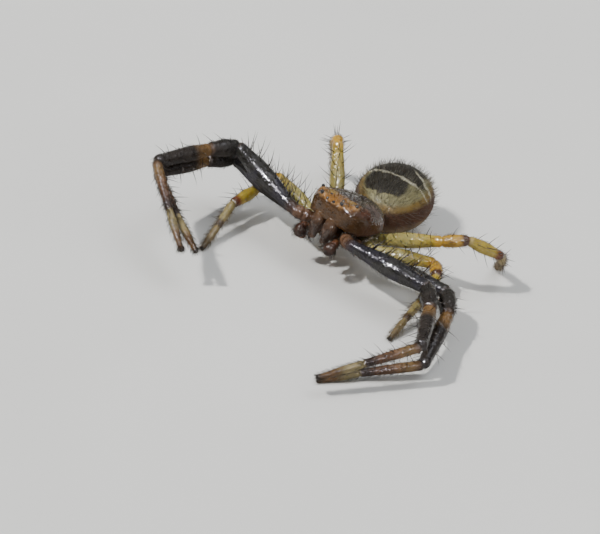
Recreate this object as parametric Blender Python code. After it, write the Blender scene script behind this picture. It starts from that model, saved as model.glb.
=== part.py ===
"""A crab spider, an adult male Synema globosum, as a still model at life size.

Sizes are in millimetres in the body's own frame: the head looks along -Y, the left side is +X
and the back is +Z. Each mesh is turned into metres when it is finished. An empty carries the
body at its height and tilt, and a second one carries the abdomen.
"""

import math
import random

import bmesh
import bpy
import numpy as np
from mathutils import Matrix, Vector

# ---------------------------------------------------------------- driving dimensions
MM = 0.001
GAP = 0.02  # between neighbouring pieces
SOLE_CUT = 0.012  # of a standing foot's round end, lost at the floor

BODY_PLACE = (-0.52, 0.89, 1.25)  # the carapace's centre, which puts the legs' box over the origin
BODY_PITCH = 11  # degrees, head up
CARAPACE_HALF_WIDTH = 0.90
CARAPACE_FRONT = 1.00
CARAPACE_REAR = 0.90
CARAPACE_HEIGHT = 0.57
HEAD_RISE = 0.13  # of the crown from the middle to the face
FACE_LIFT = 0.16  # of the rim under the face
REAR_NARROWING = 0.16
CARAPACE_DEPTH = 0.12  # below the rim

ABDOMEN_CENTRE = (-0.33, 2.04, 0.05)
ABDOMEN_YAW = 15  # degrees
ABDOMEN_TILT = 16  # degrees, hind end up
ABDOMEN_SEMI = (0.98, 1.13, 0.76)
PEDICEL = ((0.0, 0.62, -0.23), (-0.03, 1.14, -0.26))
PEDICEL_RADIUS = 0.105

STERNUM_SEMI = (0.50, 0.58, 0.12)
STERNUM_CENTRE = (0.0, -0.06, -0.36)
ENDITE_SEMI = (0.105, 0.17, 0.09)
ENDITE_CENTRE = (0.14, -0.64, -0.40)
LABIUM_SEMI = (0.10, 0.12, 0.07)
LABIUM_CENTRE = (0.0, -0.60, -0.43)

# Eyes: places as shares of the carapace's width and length, and radii.
EYES = {
    "front_middle": (0.12, -0.93, 0.038),
    "front_side": (0.36, -0.87, 0.052),
    "rear_middle": (0.22, -0.68, 0.034),
    "rear_side": (0.61, -0.57, 0.047),
}
TUBERCLE_HEIGHT = 0.075
TUBERCLE_SPREAD = 0.11

# Legs. Lengths of femur, patella, tibia, metatarsus and tarsus.
LENGTHS = {
    1: (2.39, 0.90, 1.78, 1.47, 1.21),
    2: (2.53, 0.88, 1.82, 1.58, 1.22),
    3: (1.64, 0.62, 0.90, 0.80, 0.74),
    4: (1.80, 0.66, 1.08, 0.85, 0.66),
}
# Where each left coxa leaves the sternum, and where it hands over to the femur.
COXA_ROOTS = {
    1: (0.42, -0.52, -0.27),
    2: (0.46, -0.20, -0.37),
    3: (0.46, 0.09, -0.37),
    4: (0.36, 0.36, -0.33),
}
HIPS = {
    1: (0.96, -1.00, -0.12),
    2: (1.01, -0.55, -0.38),
    3: (1.02, -0.10, -0.40),
    4: (0.76, 0.47, -0.31),
}
# Angles in whole degrees: the femur's heading forward of sideways, its rise and the turn of the
# leg's plane about it, then the bends at knee, patella (in the plane and across it), tibia (in the
# plane and across it) and metatarsus.
ANGLES = {
    (1, "right"): (-3, 14, 84, 83, 8, 2, 71, -14, 2),
    (1, "left"): (-11, -2, 80, 54, 10, 2, 62, -18, 0),
    (2, "right"): (0, 8, 85, 78, 14, 3, 68, -9, 4),
    (2, "left"): (-14, 1, 73, 59, 19, -7, 57, 0, -5),
    (3, "right"): (-8, 8, 52, 92, 12, 22, 14, -19, -2),
    (3, "left"): (-45, 2, 82, 88, 25, -15, 7, -6, -1),
    (4, "right"): (-25, 57, -23, 85, 2, -2, 20, -1, 7),
    (4, "left"): (-10, 24, -84, 34, 31, 26, 51, 3, 11),
}
STANDING = {(2, "left"), (3, "left"), (3, "right"), (4, "left"), (4, "right")}

# Radius of each segment at its start, at its swelling and at its end, and the swelling's place.
FRONT_RADII = {
    "coxa": (0.125, 0.165, 0.150, 0.5),
    "femur": (0.150, 0.262, 0.180, 0.58),
    "patella": (0.180, 0.222, 0.172, 0.45),
    "tibia": (0.160, 0.196, 0.150, 0.35),
    "metatarsus": (0.120, 0.125, 0.100, 0.30),
    "tarsus": (0.092, 0.100, 0.060, 0.35),
}
HIND_RADII = {
    "coxa": (0.120, 0.155, 0.140, 0.5),
    "femur": (0.140, 0.195, 0.140, 0.45),
    "patella": (0.135, 0.165, 0.130, 0.45),
    "tibia": (0.122, 0.160, 0.120, 0.40),
    "metatarsus": (0.098, 0.108, 0.088, 0.30),
    "tarsus": (0.082, 0.090, 0.055, 0.35),
}
SECOND_FEMUR = 0.92  # thickness of the second femur beside the first
SEGMENTS = tuple(FRONT_RADII)
BEND_CLEARANCE = 1.3  # of a bend's radius over the leg's
STATION_SPACING = {1: 0.34, 2: 0.34, 3: 0.26, 4: 0.26}
STATION_TURN = math.radians(24)
SIDES = {1: 12, 2: 12, 3: 10, 4: 10}

# Spines: rows of a kind of segment, each as its turn from the leg's back towards its front face
# in degrees, the shares of the segment at which its spines stand, and their length.
SPINE_ROWS = {
    "front_femur": (
        (95, (0.22, 0.36, 0.5, 0.64, 0.8), 0.54),
        (50, (0.3, 0.45, 0.6, 0.75), 0.48),
        (5, (0.4, 0.66), 0.40),
    ),
    "front_patella": ((20, (0.75,), 0.34), (100, (0.55,), 0.32)),
    "front_tibia": (
        (155, (0.2, 0.45, 0.7), 0.42),
        (205, (0.3, 0.55, 0.8), 0.42),
        (75, (0.2, 0.5, 0.8), 0.36),
        (0, (0.35, 0.7), 0.34),
    ),
    "front_metatarsus": ((150, (0.15, 0.38, 0.62), 0.34), (210, (0.25, 0.5, 0.75), 0.34), (80, (0.3,), 0.26)),
    "hind_femur": (
        (0, (0.25, 0.42, 0.6, 0.8), 0.50),
        (50, (0.35, 0.55, 0.75), 0.45),
        (-50, (0.5, 0.7), 0.42),
    ),
    "hind_patella": ((0, (0.25, 0.8), 0.34),),
    "hind_tibia": ((0, (0.2, 0.6), 0.38), (75, (0.4, 0.75), 0.34), (-75, (0.5,), 0.34)),
    "hind_metatarsus": ((70, (0.2,), 0.26), (-70, (0.3,), 0.26)),
}
SPINE_RADIUS = 0.018
SPINE_SINK = 0.045
SPINE_LEANS = (24, 42)  # degrees from upright at the root and at the tip, towards the leg's tip
SPINE_VARIATION = 0.14
SPINE_CLEARANCE = 0.08
SEED = 7

CHELICERA = {"top": (0.205, -0.84, 0.16), "tip": (0.200, -1.01, -0.46)}
CHELICERA_RADII = (0.172, 0.190, 0.105, 0.40)
PALP_CORNERS = ((0.25, -0.62, -0.38), (0.48, -0.87, -0.37), (0.57, -1.06, -0.35), (0.46, -1.12, -0.59))
PALP_RADII = (0.085, 0.095, 0.100, 0.20)
PALP_BULB_RADIUS = 0.165

COLOURS = {
    "carapace": ((0.22, 0.075, 0.025), 0.25),
    "sternum": ((0.20, 0.12, 0.05), 0.4),
    "abdomen": ((0.10, 0.085, 0.05), 0.4),
    "spinnerets": ((0.20, 0.13, 0.07), 0.5),
    "chelicera": ((0.03, 0.012, 0.008), 0.2),
    "palp": ((0.12, 0.045, 0.02), 0.3),
    "eye": ((0.01, 0.008, 0.008), 0.05),
    "black_leg": ((0.012, 0.011, 0.014), 0.25),
    "brown_leg": ((0.19, 0.075, 0.03), 0.35),
    "yellow_leg": ((0.42, 0.33, 0.06), 0.35),
}


# ---------------------------------------------------------------- scene, materials, objects
def clear_scene():
    for thing in list(bpy.data.objects):
        bpy.data.objects.remove(thing, do_unlink=True)


def collection(name):
    made = bpy.data.collections.new(name)
    bpy.context.scene.collection.children.link(made)
    return made


def material(name):
    colour, roughness = COLOURS[name]
    made = bpy.data.materials.new(name)
    made.use_nodes = True
    shader = made.node_tree.nodes["Principled BSDF"]
    shader.inputs["Base Color"].default_value = (*colour, 1.0)
    shader.inputs["Roughness"].default_value = roughness
    made.diffuse_color = (*colour, 1.0)
    return made


def frame(name, place, turns, parent=None):
    """An empty at a place in millimetres, turned by Euler angles in degrees."""
    made = bpy.data.objects.new(name, None)
    parts.objects.link(made)
    made.location = Vector(place) * MM
    made.rotation_euler = [math.radians(turn) for turn in turns]
    made.parent = parent
    return made


def add(name, mesh, look, parent):
    """One finished sub-part, from a bmesh in millimetres in its parent's frame."""
    data = bpy.data.meshes.new(name)
    bmesh.ops.recalc_face_normals(mesh, faces=mesh.faces)
    bmesh.ops.scale(mesh, vec=(MM, MM, MM), verts=mesh.verts)
    mesh.to_mesh(data)
    mesh.free()
    data.materials.append(materials[look])
    data.shade_smooth()
    data.set_sharp_from_angle(angle=math.radians(50))
    made = bpy.data.objects.new(name, data)
    parts.objects.link(made)
    made.parent = parent
    return made


# ---------------------------------------------------------------- shapes
def mirrored(point, side):
    """A point of the left side, carried to either side."""
    return Vector((point[0] * side, point[1], point[2]))


def swelling(radii, share):
    """A radius that eases from its start to its swelling and on to its end."""
    start, belly, end, place = radii
    if share < place:
        ease = (1 - math.cos(math.pi * share / place)) / 2
        return start + (belly - start) * ease
    ease = (1 - math.cos(math.pi * (share - place) / (1 - place))) / 2
    return belly + (end - belly) * ease


class Centreline:
    """Straight runs joined by round bends, which tells place and heading at a length along it."""

    def __init__(self, corners, bends):
        headings = [(b - a).normalized() for a, b in zip(corners, corners[1:])]
        turns = [a.angle(b) for a, b in zip(headings, headings[1:])]
        setbacks = [0.0] + [bend * math.tan(turn / 2) for bend, turn in zip(bends, turns)] + [0.0]
        self.pieces = []
        self.joints = [0.0]
        self.length = 0.0
        for i, heading in enumerate(headings):
            run = (corners[i + 1] - corners[i]).length - setbacks[i] - setbacks[i + 1]
            start = corners[i] + heading * setbacks[i]
            self.pieces.append((self.length, start, heading, None, 0.0))
            self.length += run
            if i < len(turns):
                axis = heading.cross(headings[i + 1]).normalized()
                arc = bends[i] * turns[i]
                self.pieces.append((self.length, start + heading * run, heading, axis, bends[i]))
                self.joints.append(self.length + arc / 2)
                self.length += arc
        self.joints.append(self.length)

    def at(self, along):
        passed = [piece for piece in self.pieces if piece[0] <= along + 1e-9]
        begin, start, heading, axis, radius = passed[-1] if passed else self.pieces[0]
        if axis is None:
            return start + heading * (along - begin), heading
        angle = (along - begin) / radius
        inward = axis.cross(heading)
        place = start + (heading * math.sin(angle) + inward * (1 - math.cos(angle))) * radius
        return place, heading * math.cos(angle) + inward * math.sin(angle)

    def stations(self, begin, end, spacing):
        """Lengths from begin to end, closer together where the line bends."""
        fine = np.linspace(begin, end, 200)
        headings = [self.at(value)[1] for value in fine]
        steps = [a.angle(b, 0.0) / STATION_TURN for a, b in zip(headings, headings[1:])]
        measure = np.concatenate([[0.0], np.cumsum(np.array(steps) + np.diff(fine) / spacing)])
        count = max(2, math.ceil(measure[-1]))
        return [float(v) for v in np.interp(np.linspace(0, measure[-1], count + 1), measure, fine)]


def tube(line, stations, sides, draw_in=(0.0, 0.0)):
    """A closed round loft through (length, radius) stations, its two flat ends drawn in."""
    mesh = bmesh.new()
    across = None
    rings = []
    for index, (along, radius) in enumerate(stations):
        place, heading = line.at(along)
        if index == 0:
            place = place + heading * draw_in[0]
        if index == len(stations) - 1:
            place = place - heading * draw_in[1]
        across = heading.orthogonal() if across is None else across - heading * across.dot(heading)
        across.normalize()
        other = heading.cross(across)
        ring = []
        for i in range(sides):
            angle = 2 * math.pi * i / sides
            ring.append(mesh.verts.new(place + (across * math.cos(angle) + other * math.sin(angle)) * radius))
        rings.append(ring)
    for low, high in zip(rings, rings[1:]):
        for i in range(sides):
            j = (i + 1) % sides
            mesh.faces.new((low[i], low[j], high[j], high[i]))
    mesh.faces.new(rings[0][::-1])
    mesh.faces.new(rings[-1])
    return mesh


def round_tip(stations, reach):
    """Stations that end in a half-round tip of the given reach past the last one."""
    along, radius = stations[-1]
    angles = [math.radians(a) for a in (30, 55, 75)]
    return stations + [(along + reach * math.sin(a), radius * math.cos(a)) for a in angles]


def ball(segments, rings, place):
    """A sphere of radius 1 whose points are moved by a function."""
    mesh = bmesh.new()
    bmesh.ops.create_uvsphere(mesh, u_segments=segments, v_segments=rings, radius=1.0)
    for vert in mesh.verts:
        vert.co = place(vert.co)
    return mesh


def as_object(mesh):
    """A loose object that holds a bmesh, for a Boolean."""
    bmesh.ops.recalc_face_normals(mesh, faces=mesh.faces)
    data = bpy.data.meshes.new("tool")
    mesh.to_mesh(data)
    made = bpy.data.objects.new("tool", data)
    made.hide_render = True
    made.display_type = "WIRE"
    tools.objects.link(made)
    return made


def boolean(mesh, others, operation):
    """The mesh joined with, or cut by, all the others at once."""
    target = as_object(mesh)
    target_tools = bpy.data.collections.new("operands")
    bpy.context.scene.collection.children.link(target_tools)
    for other in others:
        thing = as_object(other)
        tools.objects.unlink(thing)
        target_tools.objects.link(thing)
    step = target.modifiers.new("combine", "BOOLEAN")
    step.operation = operation
    step.operand_type = "COLLECTION"
    step.collection = target_tools
    evaluated = target.evaluated_get(bpy.context.evaluated_depsgraph_get())
    result = bmesh.new()
    result.from_mesh(evaluated.to_mesh())
    for thing in list(target_tools.objects) + [target]:
        bpy.data.objects.remove(thing, do_unlink=True)
    bpy.data.collections.remove(target_tools)
    return largest(result)


def largest(mesh):
    """Keeps only the largest connected surface."""
    left = set(mesh.verts)
    shells = []
    while left:
        shell = set()
        edge = [left.pop()]
        while edge:
            vert = edge.pop()
            shell.add(vert)
            for link in vert.link_edges:
                other = link.other_vert(vert)
                if other in left:
                    left.remove(other)
                    edge.append(other)
        shells.append(shell)
    shells.sort(key=len)
    scraps = [vert for shell in shells[:-1] for vert in shell]
    bmesh.ops.delete(mesh, geom=scraps, context="VERTS")
    return mesh


# ---------------------------------------------------------------- carapace and eyes
def carapace_outline(u, v):
    """A place in the carapace's plan from shares of its width and length, squarer at the head."""
    reach = math.hypot(u, v)
    if reach < 1e-9:
        return 0.0, 0.0
    power = 2.25 - 0.25 * v
    c = abs(u) / reach
    s = abs(v) / reach
    stretch = 1 / (c**power + s**power) ** (1 / power)
    width = CARAPACE_HALF_WIDTH * (1 - REAR_NARROWING * max(0.0, v) * abs(v))
    length = CARAPACE_FRONT if v < 0 else CARAPACE_REAR
    return width * u * stretch, length * v * stretch


def tubercles(x, y):
    """Height of the mounds that carry the side eyes."""
    height = 0.0
    for name in ("front_side", "rear_side"):
        u, v, _ = EYES[name]
        ex, ey = carapace_outline(u, v)
        for side in (-1, 1):
            away = math.hypot(x - ex * side, y - ey)
            height += TUBERCLE_HEIGHT * math.exp(-((away / TUBERCLE_SPREAD) ** 2))
    return height


def carapace_rim(v):
    """Height of the rim, which rises under the face."""
    share = min(1.0, max(0.0, (-v - 0.45) / 0.5))
    return FACE_LIFT * share * share * (3 - 2 * share)


def carapace_top(u, v):
    """The carapace's upper surface over a place in its plan, blunt at the face."""
    x, y = carapace_outline(u, v)
    reach = min(1.0, math.hypot(u, v))
    rim = carapace_rim(v)
    crown = CARAPACE_HEIGHT - HEAD_RISE * v - rim
    power = 3.0 - 3.6 * min(0.0, v)
    return Vector((x, y, rim + crown * (1 - reach**power) ** (1 / power) + tubercles(x, y)))


def carapace_place(point):
    if point.z >= 0:
        return carapace_top(point.x, point.y)
    x, y = carapace_outline(point.x, point.y)
    reach = min(1.0, math.hypot(point.x, point.y))
    return Vector((x, y, carapace_rim(point.y) - CARAPACE_DEPTH * (1 - reach**4) ** 0.25))


def carapace_normal(u, v):
    step = 0.01
    across = carapace_top(u + step, v) - carapace_top(u - step, v)
    along = carapace_top(u, v + step) - carapace_top(u, v - step)
    return across.cross(along).normalized()


def eye_centre(name, side):
    u, v, radius = EYES[name]
    return carapace_top(u * side, v) + carapace_normal(u * side, v) * radius * 0.25


def eye_ball(name, side, extra=0.0):
    radius = EYES[name][2] + extra
    centre = eye_centre(name, side)
    return ball(8, 6, lambda point: centre + point * radius)


# ---------------------------------------------------------------- legs
def leg_corners(number, side_name):
    """The leg's corners from its coxa's root to its tip, and each segment's back and front face."""
    side = 1 if side_name == "left" else -1
    heading, rise, twist, knee, patella, patella_side, tibia, tibia_side, metatarsus = (
        math.radians(a) for a in ANGLES[number, side_name]
    )
    outward = Vector((side, 0, 0)) * math.cos(heading) + Vector((0, -1, 0)) * math.sin(heading)
    ahead = Vector((side, 0, 0)) * -math.sin(heading) + Vector((0, -1, 0)) * math.cos(heading)
    upward = Vector((0, 0, 1)) * math.cos(rise) - outward * math.sin(rise)
    along = outward * math.cos(rise) + Vector((0, 0, 1)) * math.sin(rise)
    down = ahead * math.sin(twist) - upward * math.cos(twist)
    across = ahead * math.cos(twist) + upward * math.sin(twist)
    corners = [mirrored(COXA_ROOTS[number], side), mirrored(HIPS[number], side)]
    faces = [(-down, across)]
    lengths = LENGTHS[number]
    bends = ((0, 0), (knee, 0), (patella, patella_side), (tibia, tibia_side), (metatarsus, 0))
    for length, (bend, sideways) in zip(lengths, bends):
        along, down = (
            along * math.cos(bend) + down * math.sin(bend),
            down * math.cos(bend) - along * math.sin(bend),
        )
        along, across = (
            along * math.cos(sideways) + across * math.sin(sideways),
            across * math.cos(sideways) - along * math.sin(sideways),
        )
        corners.append(corners[-1] + along * length)
        faces.append((-down, across))
    if (number, side_name) in STANDING:
        corners[-1] = on_floor(corners[-2], corners[-1], leg_radii(number)["tarsus"][2])
    return corners, faces


def body_matrix():
    return Matrix.Translation(BODY_PLACE) @ Matrix.Rotation(math.radians(-BODY_PITCH), 4, "X")


def on_floor(start, end, radius):
    """The tip of a leg from start towards end whose round end of a radius stands on the floor."""
    low = (body_matrix() @ end).z
    high = (body_matrix() @ start).z
    slope = (high - low) / (end - start).length
    length = (high - radius + SOLE_CUT) / slope + radius
    return start + (end - start).normalized() * length


def leg_radii(number):
    radii = dict(FRONT_RADII if number < 3 else HIND_RADII)
    if number == 2:
        start, belly, end, place = radii["femur"]
        radii["femur"] = (start, belly * SECOND_FEMUR, end * 0.97, place)
    return radii


def leg_line(number, side_name):
    radii = leg_radii(number)
    corners, faces = leg_corners(number, side_name)
    ends = [max(radii[a][2], radii[b][0]) for a, b in zip(SEGMENTS, SEGMENTS[1:])]
    line = Centreline(corners, [end * BEND_CLEARANCE for end in ends])
    line.faces = faces
    return line


def leg_radius(line, radii, along):
    """The leg's radius at a length along its whole line."""
    joints = line.joints
    index = min(len(SEGMENTS) - 1, max(i for i in range(len(SEGMENTS)) if joints[i] <= along + 1e-9))
    share = (along - joints[index]) / (joints[index + 1] - joints[index])
    return swelling(radii[SEGMENTS[index]], min(1.0, share))


def leg_piece(number, line, first, last, extra=0.0):
    """One node of a leg, from the start of one segment to the end of another."""
    radii = leg_radii(number)
    tip = last == len(SEGMENTS) - 1
    reach = radii["tarsus"][2]
    end = line.joints[last + 1] - (reach if tip else 0.0)
    stations = [
        (along, leg_radius(line, radii, along) + extra)
        for along in line.stations(line.joints[first], end, STATION_SPACING[number])
    ]
    if tip:
        stations = round_tip(stations, reach)
    draw_in = (GAP / 2 if first else 0.0) - extra, (0.0 if tip else GAP / 2) - extra
    return tube(line, stations, SIDES[number], draw_in)


def spine_line(root, upright, ahead, length):
    """A spine's first heading, and the places of its middle and its tip."""
    leans = [math.radians(lean) for lean in SPINE_LEANS]
    start, later = (upright * math.cos(lean) + ahead * math.sin(lean) for lean in leans)
    middle = root + start * length * 0.5
    return start, middle, middle + later * length * 0.5


def spine(root, upright, ahead, length):
    """A curved thorn of four sides that leans ahead, its root sunk into what it grows from."""
    start, middle, end = spine_line(root, upright, ahead, length)
    across = upright.cross(ahead).normalized()
    places = ((root - start * SPINE_SINK, SPINE_RADIUS), (middle, SPINE_RADIUS * 0.6))
    mesh = bmesh.new()
    rings = []
    for place, radius in places:
        other = start.cross(across)
        turns = ((across, 1), (other, 1), (across, -1), (other, -1))
        rings.append([mesh.verts.new(place + way * sign * radius) for way, sign in turns])
    tip = mesh.verts.new(end)
    mesh.faces.new(rings[0][::-1])
    for i in range(4):
        j = (i + 1) % 4
        mesh.faces.new((rings[0][i], rings[0][j], rings[1][j], rings[1][i]))
        mesh.faces.new((rings[1][i], rings[1][j], tip))
    return mesh


def limb_samples(number, line):
    """Places and radii close together along a leg."""
    radii = leg_radii(number)
    lengths = np.linspace(0, line.length, 120)
    places = np.array([line.at(along)[0] for along in lengths])
    return places, np.array([leg_radius(line, radii, along) for along in lengths])


def is_clear(points, others):
    """Whether points keep off the other legs and the spines that these carry already."""
    for places, radii in others:
        for point in points:
            away = np.linalg.norm(places - np.array(point), axis=1) - radii
            if away.min() < SPINE_CLEARANCE:
                return False
    return True


def leg_spines(number, line, index, others, grown):
    """The spines of one segment, varied a little, and shorter or absent where a leg is near."""
    kind = ("front_" if number < 3 else "hind_") + SEGMENTS[index]
    radii = leg_radii(number)
    begin, end = line.joints[index], line.joints[index + 1]
    back, front = line.faces[index]
    made = []
    for turn, shares, length in SPINE_ROWS.get(kind, ()):
        for share in shares:
            share += draw.uniform(-0.03, 0.03)
            along = begin + (end - begin) * share
            place, heading = line.at(along)
            angle = math.radians(turn + draw.uniform(-8, 8))
            upright = back * math.cos(angle) + front * math.sin(angle)
            upright = (upright - heading * upright.dot(heading)).normalized()
            root = place + upright * leg_radius(line, radii, along)
            size = length * draw.uniform(1 - SPINE_VARIATION, 1 + SPINE_VARIATION)
            for shrink in (1.0, 0.75, 0.55):
                _, middle, point = spine_line(root, upright, heading, size * shrink)
                points = (middle, (middle + point) / 2, point)
                if is_clear(points, others):
                    made.append(spine(root, upright, heading, size * shrink))
                    grown.extend(points)
                    break
    return made


def cut_at_floor(mesh):
    """Cuts off what lies below the floor and closes the cut with a flat sole."""
    inverse = body_matrix().inverted()
    bmesh.ops.recalc_face_normals(mesh, faces=mesh.faces)
    geometry = mesh.verts[:] + mesh.edges[:] + mesh.faces[:]
    bmesh.ops.bisect_plane(
        mesh,
        geom=geometry,
        dist=1e-6,
        plane_co=inverse @ Vector((0, 0, 0)),
        plane_no=inverse.to_3x3() @ Vector((0, 0, 1)),
        clear_inner=True,
    )
    rim = [edge for edge in mesh.edges if edge.is_boundary]
    if rim:
        bmesh.ops.holes_fill(mesh, edges=rim)
    return mesh


def leg_look(number, segment):
    if number > 2:
        return "yellow_leg"
    return "brown_leg" if segment in ("metatarsus", "tarsus") else "black_leg"


# ---------------------------------------------------------------- face, belly and abdomen
def chelicera(side, extra=0.0):
    line = Centreline([mirrored(CHELICERA[end], side) for end in ("top", "tip")], [])
    shares = (0.0, 0.1, 0.25, 0.45, 0.7, 0.88, 1.0)
    stations = [(line.length * s, swelling(CHELICERA_RADII, s) + extra) for s in shares]
    return tube(line, round_tip(stations, 0.06 + extra), 12, (-extra, 0.0))


def palp(side, extra=0.0):
    corners = [mirrored(corner, side) for corner in PALP_CORNERS]
    line = Centreline(corners, [0.12, 0.12])
    shares = (0.0, 0.15, 0.3, 0.42, 0.52, 0.60, 0.68, 0.78, 0.88, 0.96)
    stations = []
    for share in shares:
        bulb = math.exp(-(((share - 0.84) / 0.17) ** 2))
        radius = swelling(PALP_RADII, share) * (1 - bulb) + PALP_BULB_RADIUS * bulb
        stations.append((line.length * share, radius + extra))
    return tube(line, round_tip(stations, 0.08 + extra), 10, (-extra, 0.0))


def lobe(centre, semi, segments, rings, narrowing=0.0):
    """A squashed ball, narrower towards +Y by a share of its width."""

    def place(point):
        width = semi[0] * (1 - narrowing * point.y)
        return Vector(centre) + Vector((point.x * width, point.y * semi[1], point.z * semi[2]))

    return ball(segments, rings, place)


def sternum():
    """The heart-shaped plate under the carapace, with the labium and the two endites before it."""
    lobes = [lobe(mirrored(ENDITE_CENTRE, side), ENDITE_SEMI, 10, 6) for side in (-1, 1)]
    lobes.append(lobe(LABIUM_CENTRE, LABIUM_SEMI, 10, 6))
    return boolean(lobe(STERNUM_CENTRE, STERNUM_SEMI, 16, 8, 0.12), lobes, "UNION")


def pedicel(extra=0.0):
    """The narrow waist, in the body's frame."""
    line = Centreline([Vector(end) for end in PEDICEL], [])
    radius = PEDICEL_RADIUS + extra
    return tube(line, [(0.0, radius), (line.length, radius)], 10, (-extra, -extra))


def abdomen():
    """The egg of the abdomen with its waist, in the abdomen's frame."""

    def place(point):
        fuller = 1 + 0.07 * point.y
        return Vector(
            (
                point.x * ABDOMEN_SEMI[0] * fuller,
                point.y * ABDOMEN_SEMI[1],
                point.z * ABDOMEN_SEMI[2] * (1 + 0.05 * point.y),
            )
        )

    waist = pedicel()
    waist.transform(rear_matrix().inverted())
    whole = boolean(ball(28, 18, place), [waist], "UNION")
    return boolean(whole, [spinnerets(GAP)], "DIFFERENCE")


def rear_matrix():
    turn = Matrix.Rotation(math.radians(ABDOMEN_YAW), 4, "Z")
    tilt = Matrix.Rotation(math.radians(ABDOMEN_TILT), 4, "X")
    return Matrix.Translation(ABDOMEN_CENTRE) @ turn @ tilt


def spinnerets(extra=0.0):
    """A short cluster of cones under the abdomen's hind end."""
    cones = []
    for side, back, size in ((-1, 0.0, 1.0), (1, 0.0, 1.0), (0, -0.07, 0.8)):
        base = Vector((0.055 * side, 0.97 + back, -0.36))
        tip = base + Vector((0.02 * side, 0.17, -0.13)) * size
        line = Centreline([base, tip], [])
        stations = [(0.0, 0.055), (line.length * 0.6, 0.050), (line.length, 0.028)]
        stations = [(along, radius * size + extra) for along, radius in stations]
        cones.append(tube(line, stations, 8, (-extra, -extra)))
    return boolean(cones[0], cones[1:], "UNION")


# ---------------------------------------------------------------- the model
clear_scene()
parts = collection("crab_spider")
tools = collection("tools")
materials = {name: material(name) for name in COLOURS}
body = frame("body_frame", BODY_PLACE, (-BODY_PITCH, 0, 0))
rear = frame("abdomen_frame", ABDOMEN_CENTRE, (ABDOMEN_TILT, 0, ABDOMEN_YAW), body)

draw = random.Random(SEED)
lines = {(n, s): leg_line(n, s) for n in LENGTHS for s in ("left", "right")}
limbs = {key: limb_samples(key[0], line) for key, line in lines.items()}
thorn_points = {key: [] for key in lines}
coxa_cutters = [leg_piece(n, line, 0, 0, GAP) for (n, _), line in lines.items()]
shell_cutters = list(coxa_cutters)
shell_cutters += [chelicera(side, GAP) for side in (-1, 1)] + [pedicel(GAP)]
shell_cutters += [eye_ball(name, side, GAP * 0.6) for name in EYES for side in (-1, 1)]
add("carapace", boolean(ball(28, 16, carapace_place), shell_cutters, "DIFFERENCE"), "carapace", body)
belly_cutters = [leg_piece(n, line, 0, 0, GAP) for (n, _), line in lines.items()]
belly_cutters += [chelicera(side, GAP) for side in (-1, 1)] + [palp(side, GAP) for side in (-1, 1)]
belly_cutters.append(pedicel(GAP))
add("sternum", boolean(sternum(), belly_cutters, "DIFFERENCE"), "sternum", body)

for side, side_name in ((1, "left"), (-1, "right")):
    add(f"chelicera_{side_name}", chelicera(side), "chelicera", body)
    add(f"palp_{side_name}", palp(side), "palp", body)
    for name in EYES:
        add(f"eye_{name}_{side_name}", eye_ball(name, side), "eye", body)

add("abdomen", abdomen(), "abdomen", rear)
add("spinnerets", spinnerets(), "spinnerets", rear)

for (number, side_name), line in lines.items():
    own = (number, side_name)
    others = [limb for key, limb in limbs.items() if key != own]
    for key, points in thorn_points.items():
        if key != own and points:
            others.append((np.array(points), np.zeros(len(points))))
    for index in range(1, len(SEGMENTS)):
        segment = SEGMENTS[index]
        first = 0 if segment == "femur" else index
        piece = leg_piece(number, line, first, index)
        thorns = leg_spines(number, line, index, others, thorn_points[own])
        if thorns:
            piece = boolean(piece, thorns, "UNION")
        if segment == "tarsus":
            piece = cut_at_floor(piece)
        add(f"leg_{number}_{side_name}_{segment}", piece, leg_look(number, segment), body)
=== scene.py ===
# %% [markdown]
# # A crab spider at life size
#
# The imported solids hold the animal's stance and proportions. This file dresses them: one smooth
# skin for each leg, a glossy carapace with its eyes, the marked abdomen, and every bristle as
# mesh. The frame comes first, because each piece takes its body and its place from it.

# %% Load the frame
import math

import bpy
import numpy as np
from mathutils import Matrix


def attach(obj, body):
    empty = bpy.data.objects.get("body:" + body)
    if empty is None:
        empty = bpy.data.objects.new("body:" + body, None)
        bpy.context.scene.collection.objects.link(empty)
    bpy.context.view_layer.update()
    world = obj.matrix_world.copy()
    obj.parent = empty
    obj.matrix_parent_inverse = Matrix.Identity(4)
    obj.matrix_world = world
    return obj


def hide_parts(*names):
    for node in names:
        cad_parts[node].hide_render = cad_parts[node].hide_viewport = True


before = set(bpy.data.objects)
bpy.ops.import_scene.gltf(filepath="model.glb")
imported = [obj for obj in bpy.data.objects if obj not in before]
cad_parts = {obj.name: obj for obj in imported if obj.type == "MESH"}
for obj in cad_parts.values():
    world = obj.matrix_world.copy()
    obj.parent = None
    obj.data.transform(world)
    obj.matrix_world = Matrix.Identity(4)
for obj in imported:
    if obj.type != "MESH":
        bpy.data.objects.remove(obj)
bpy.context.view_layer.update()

print("nodes in the frame:", len(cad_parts))

# %% [markdown]
# ## Millimetres in the body's own frame
#
# A spider this small is easiest to think of in millimetres, with the head towards -Y, the left
# side towards +X and the back towards +Z. The body stands over the floor and is pitched up a
# little, so points are turned and lifted only when a mesh is made. The abdomen has a frame of
# its own, because it is yawed and tilted behind the waist.

# %% Body and abdomen frames
MM = 0.001
SIDES = {"left": 1, "right": -1}
BODY_PLACE = np.array([-0.52, 0.89, 1.25])
BODY_PITCH = 11  # degrees, head up
ABDOMEN_CENTRE = np.array([-0.33, 2.04, 0.05])
ABDOMEN_YAW = 15  # degrees
ABDOMEN_TILT = 16  # degrees, hind end up
ABDOMEN_SEMI = np.array([0.98, 1.13, 0.76])


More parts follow.
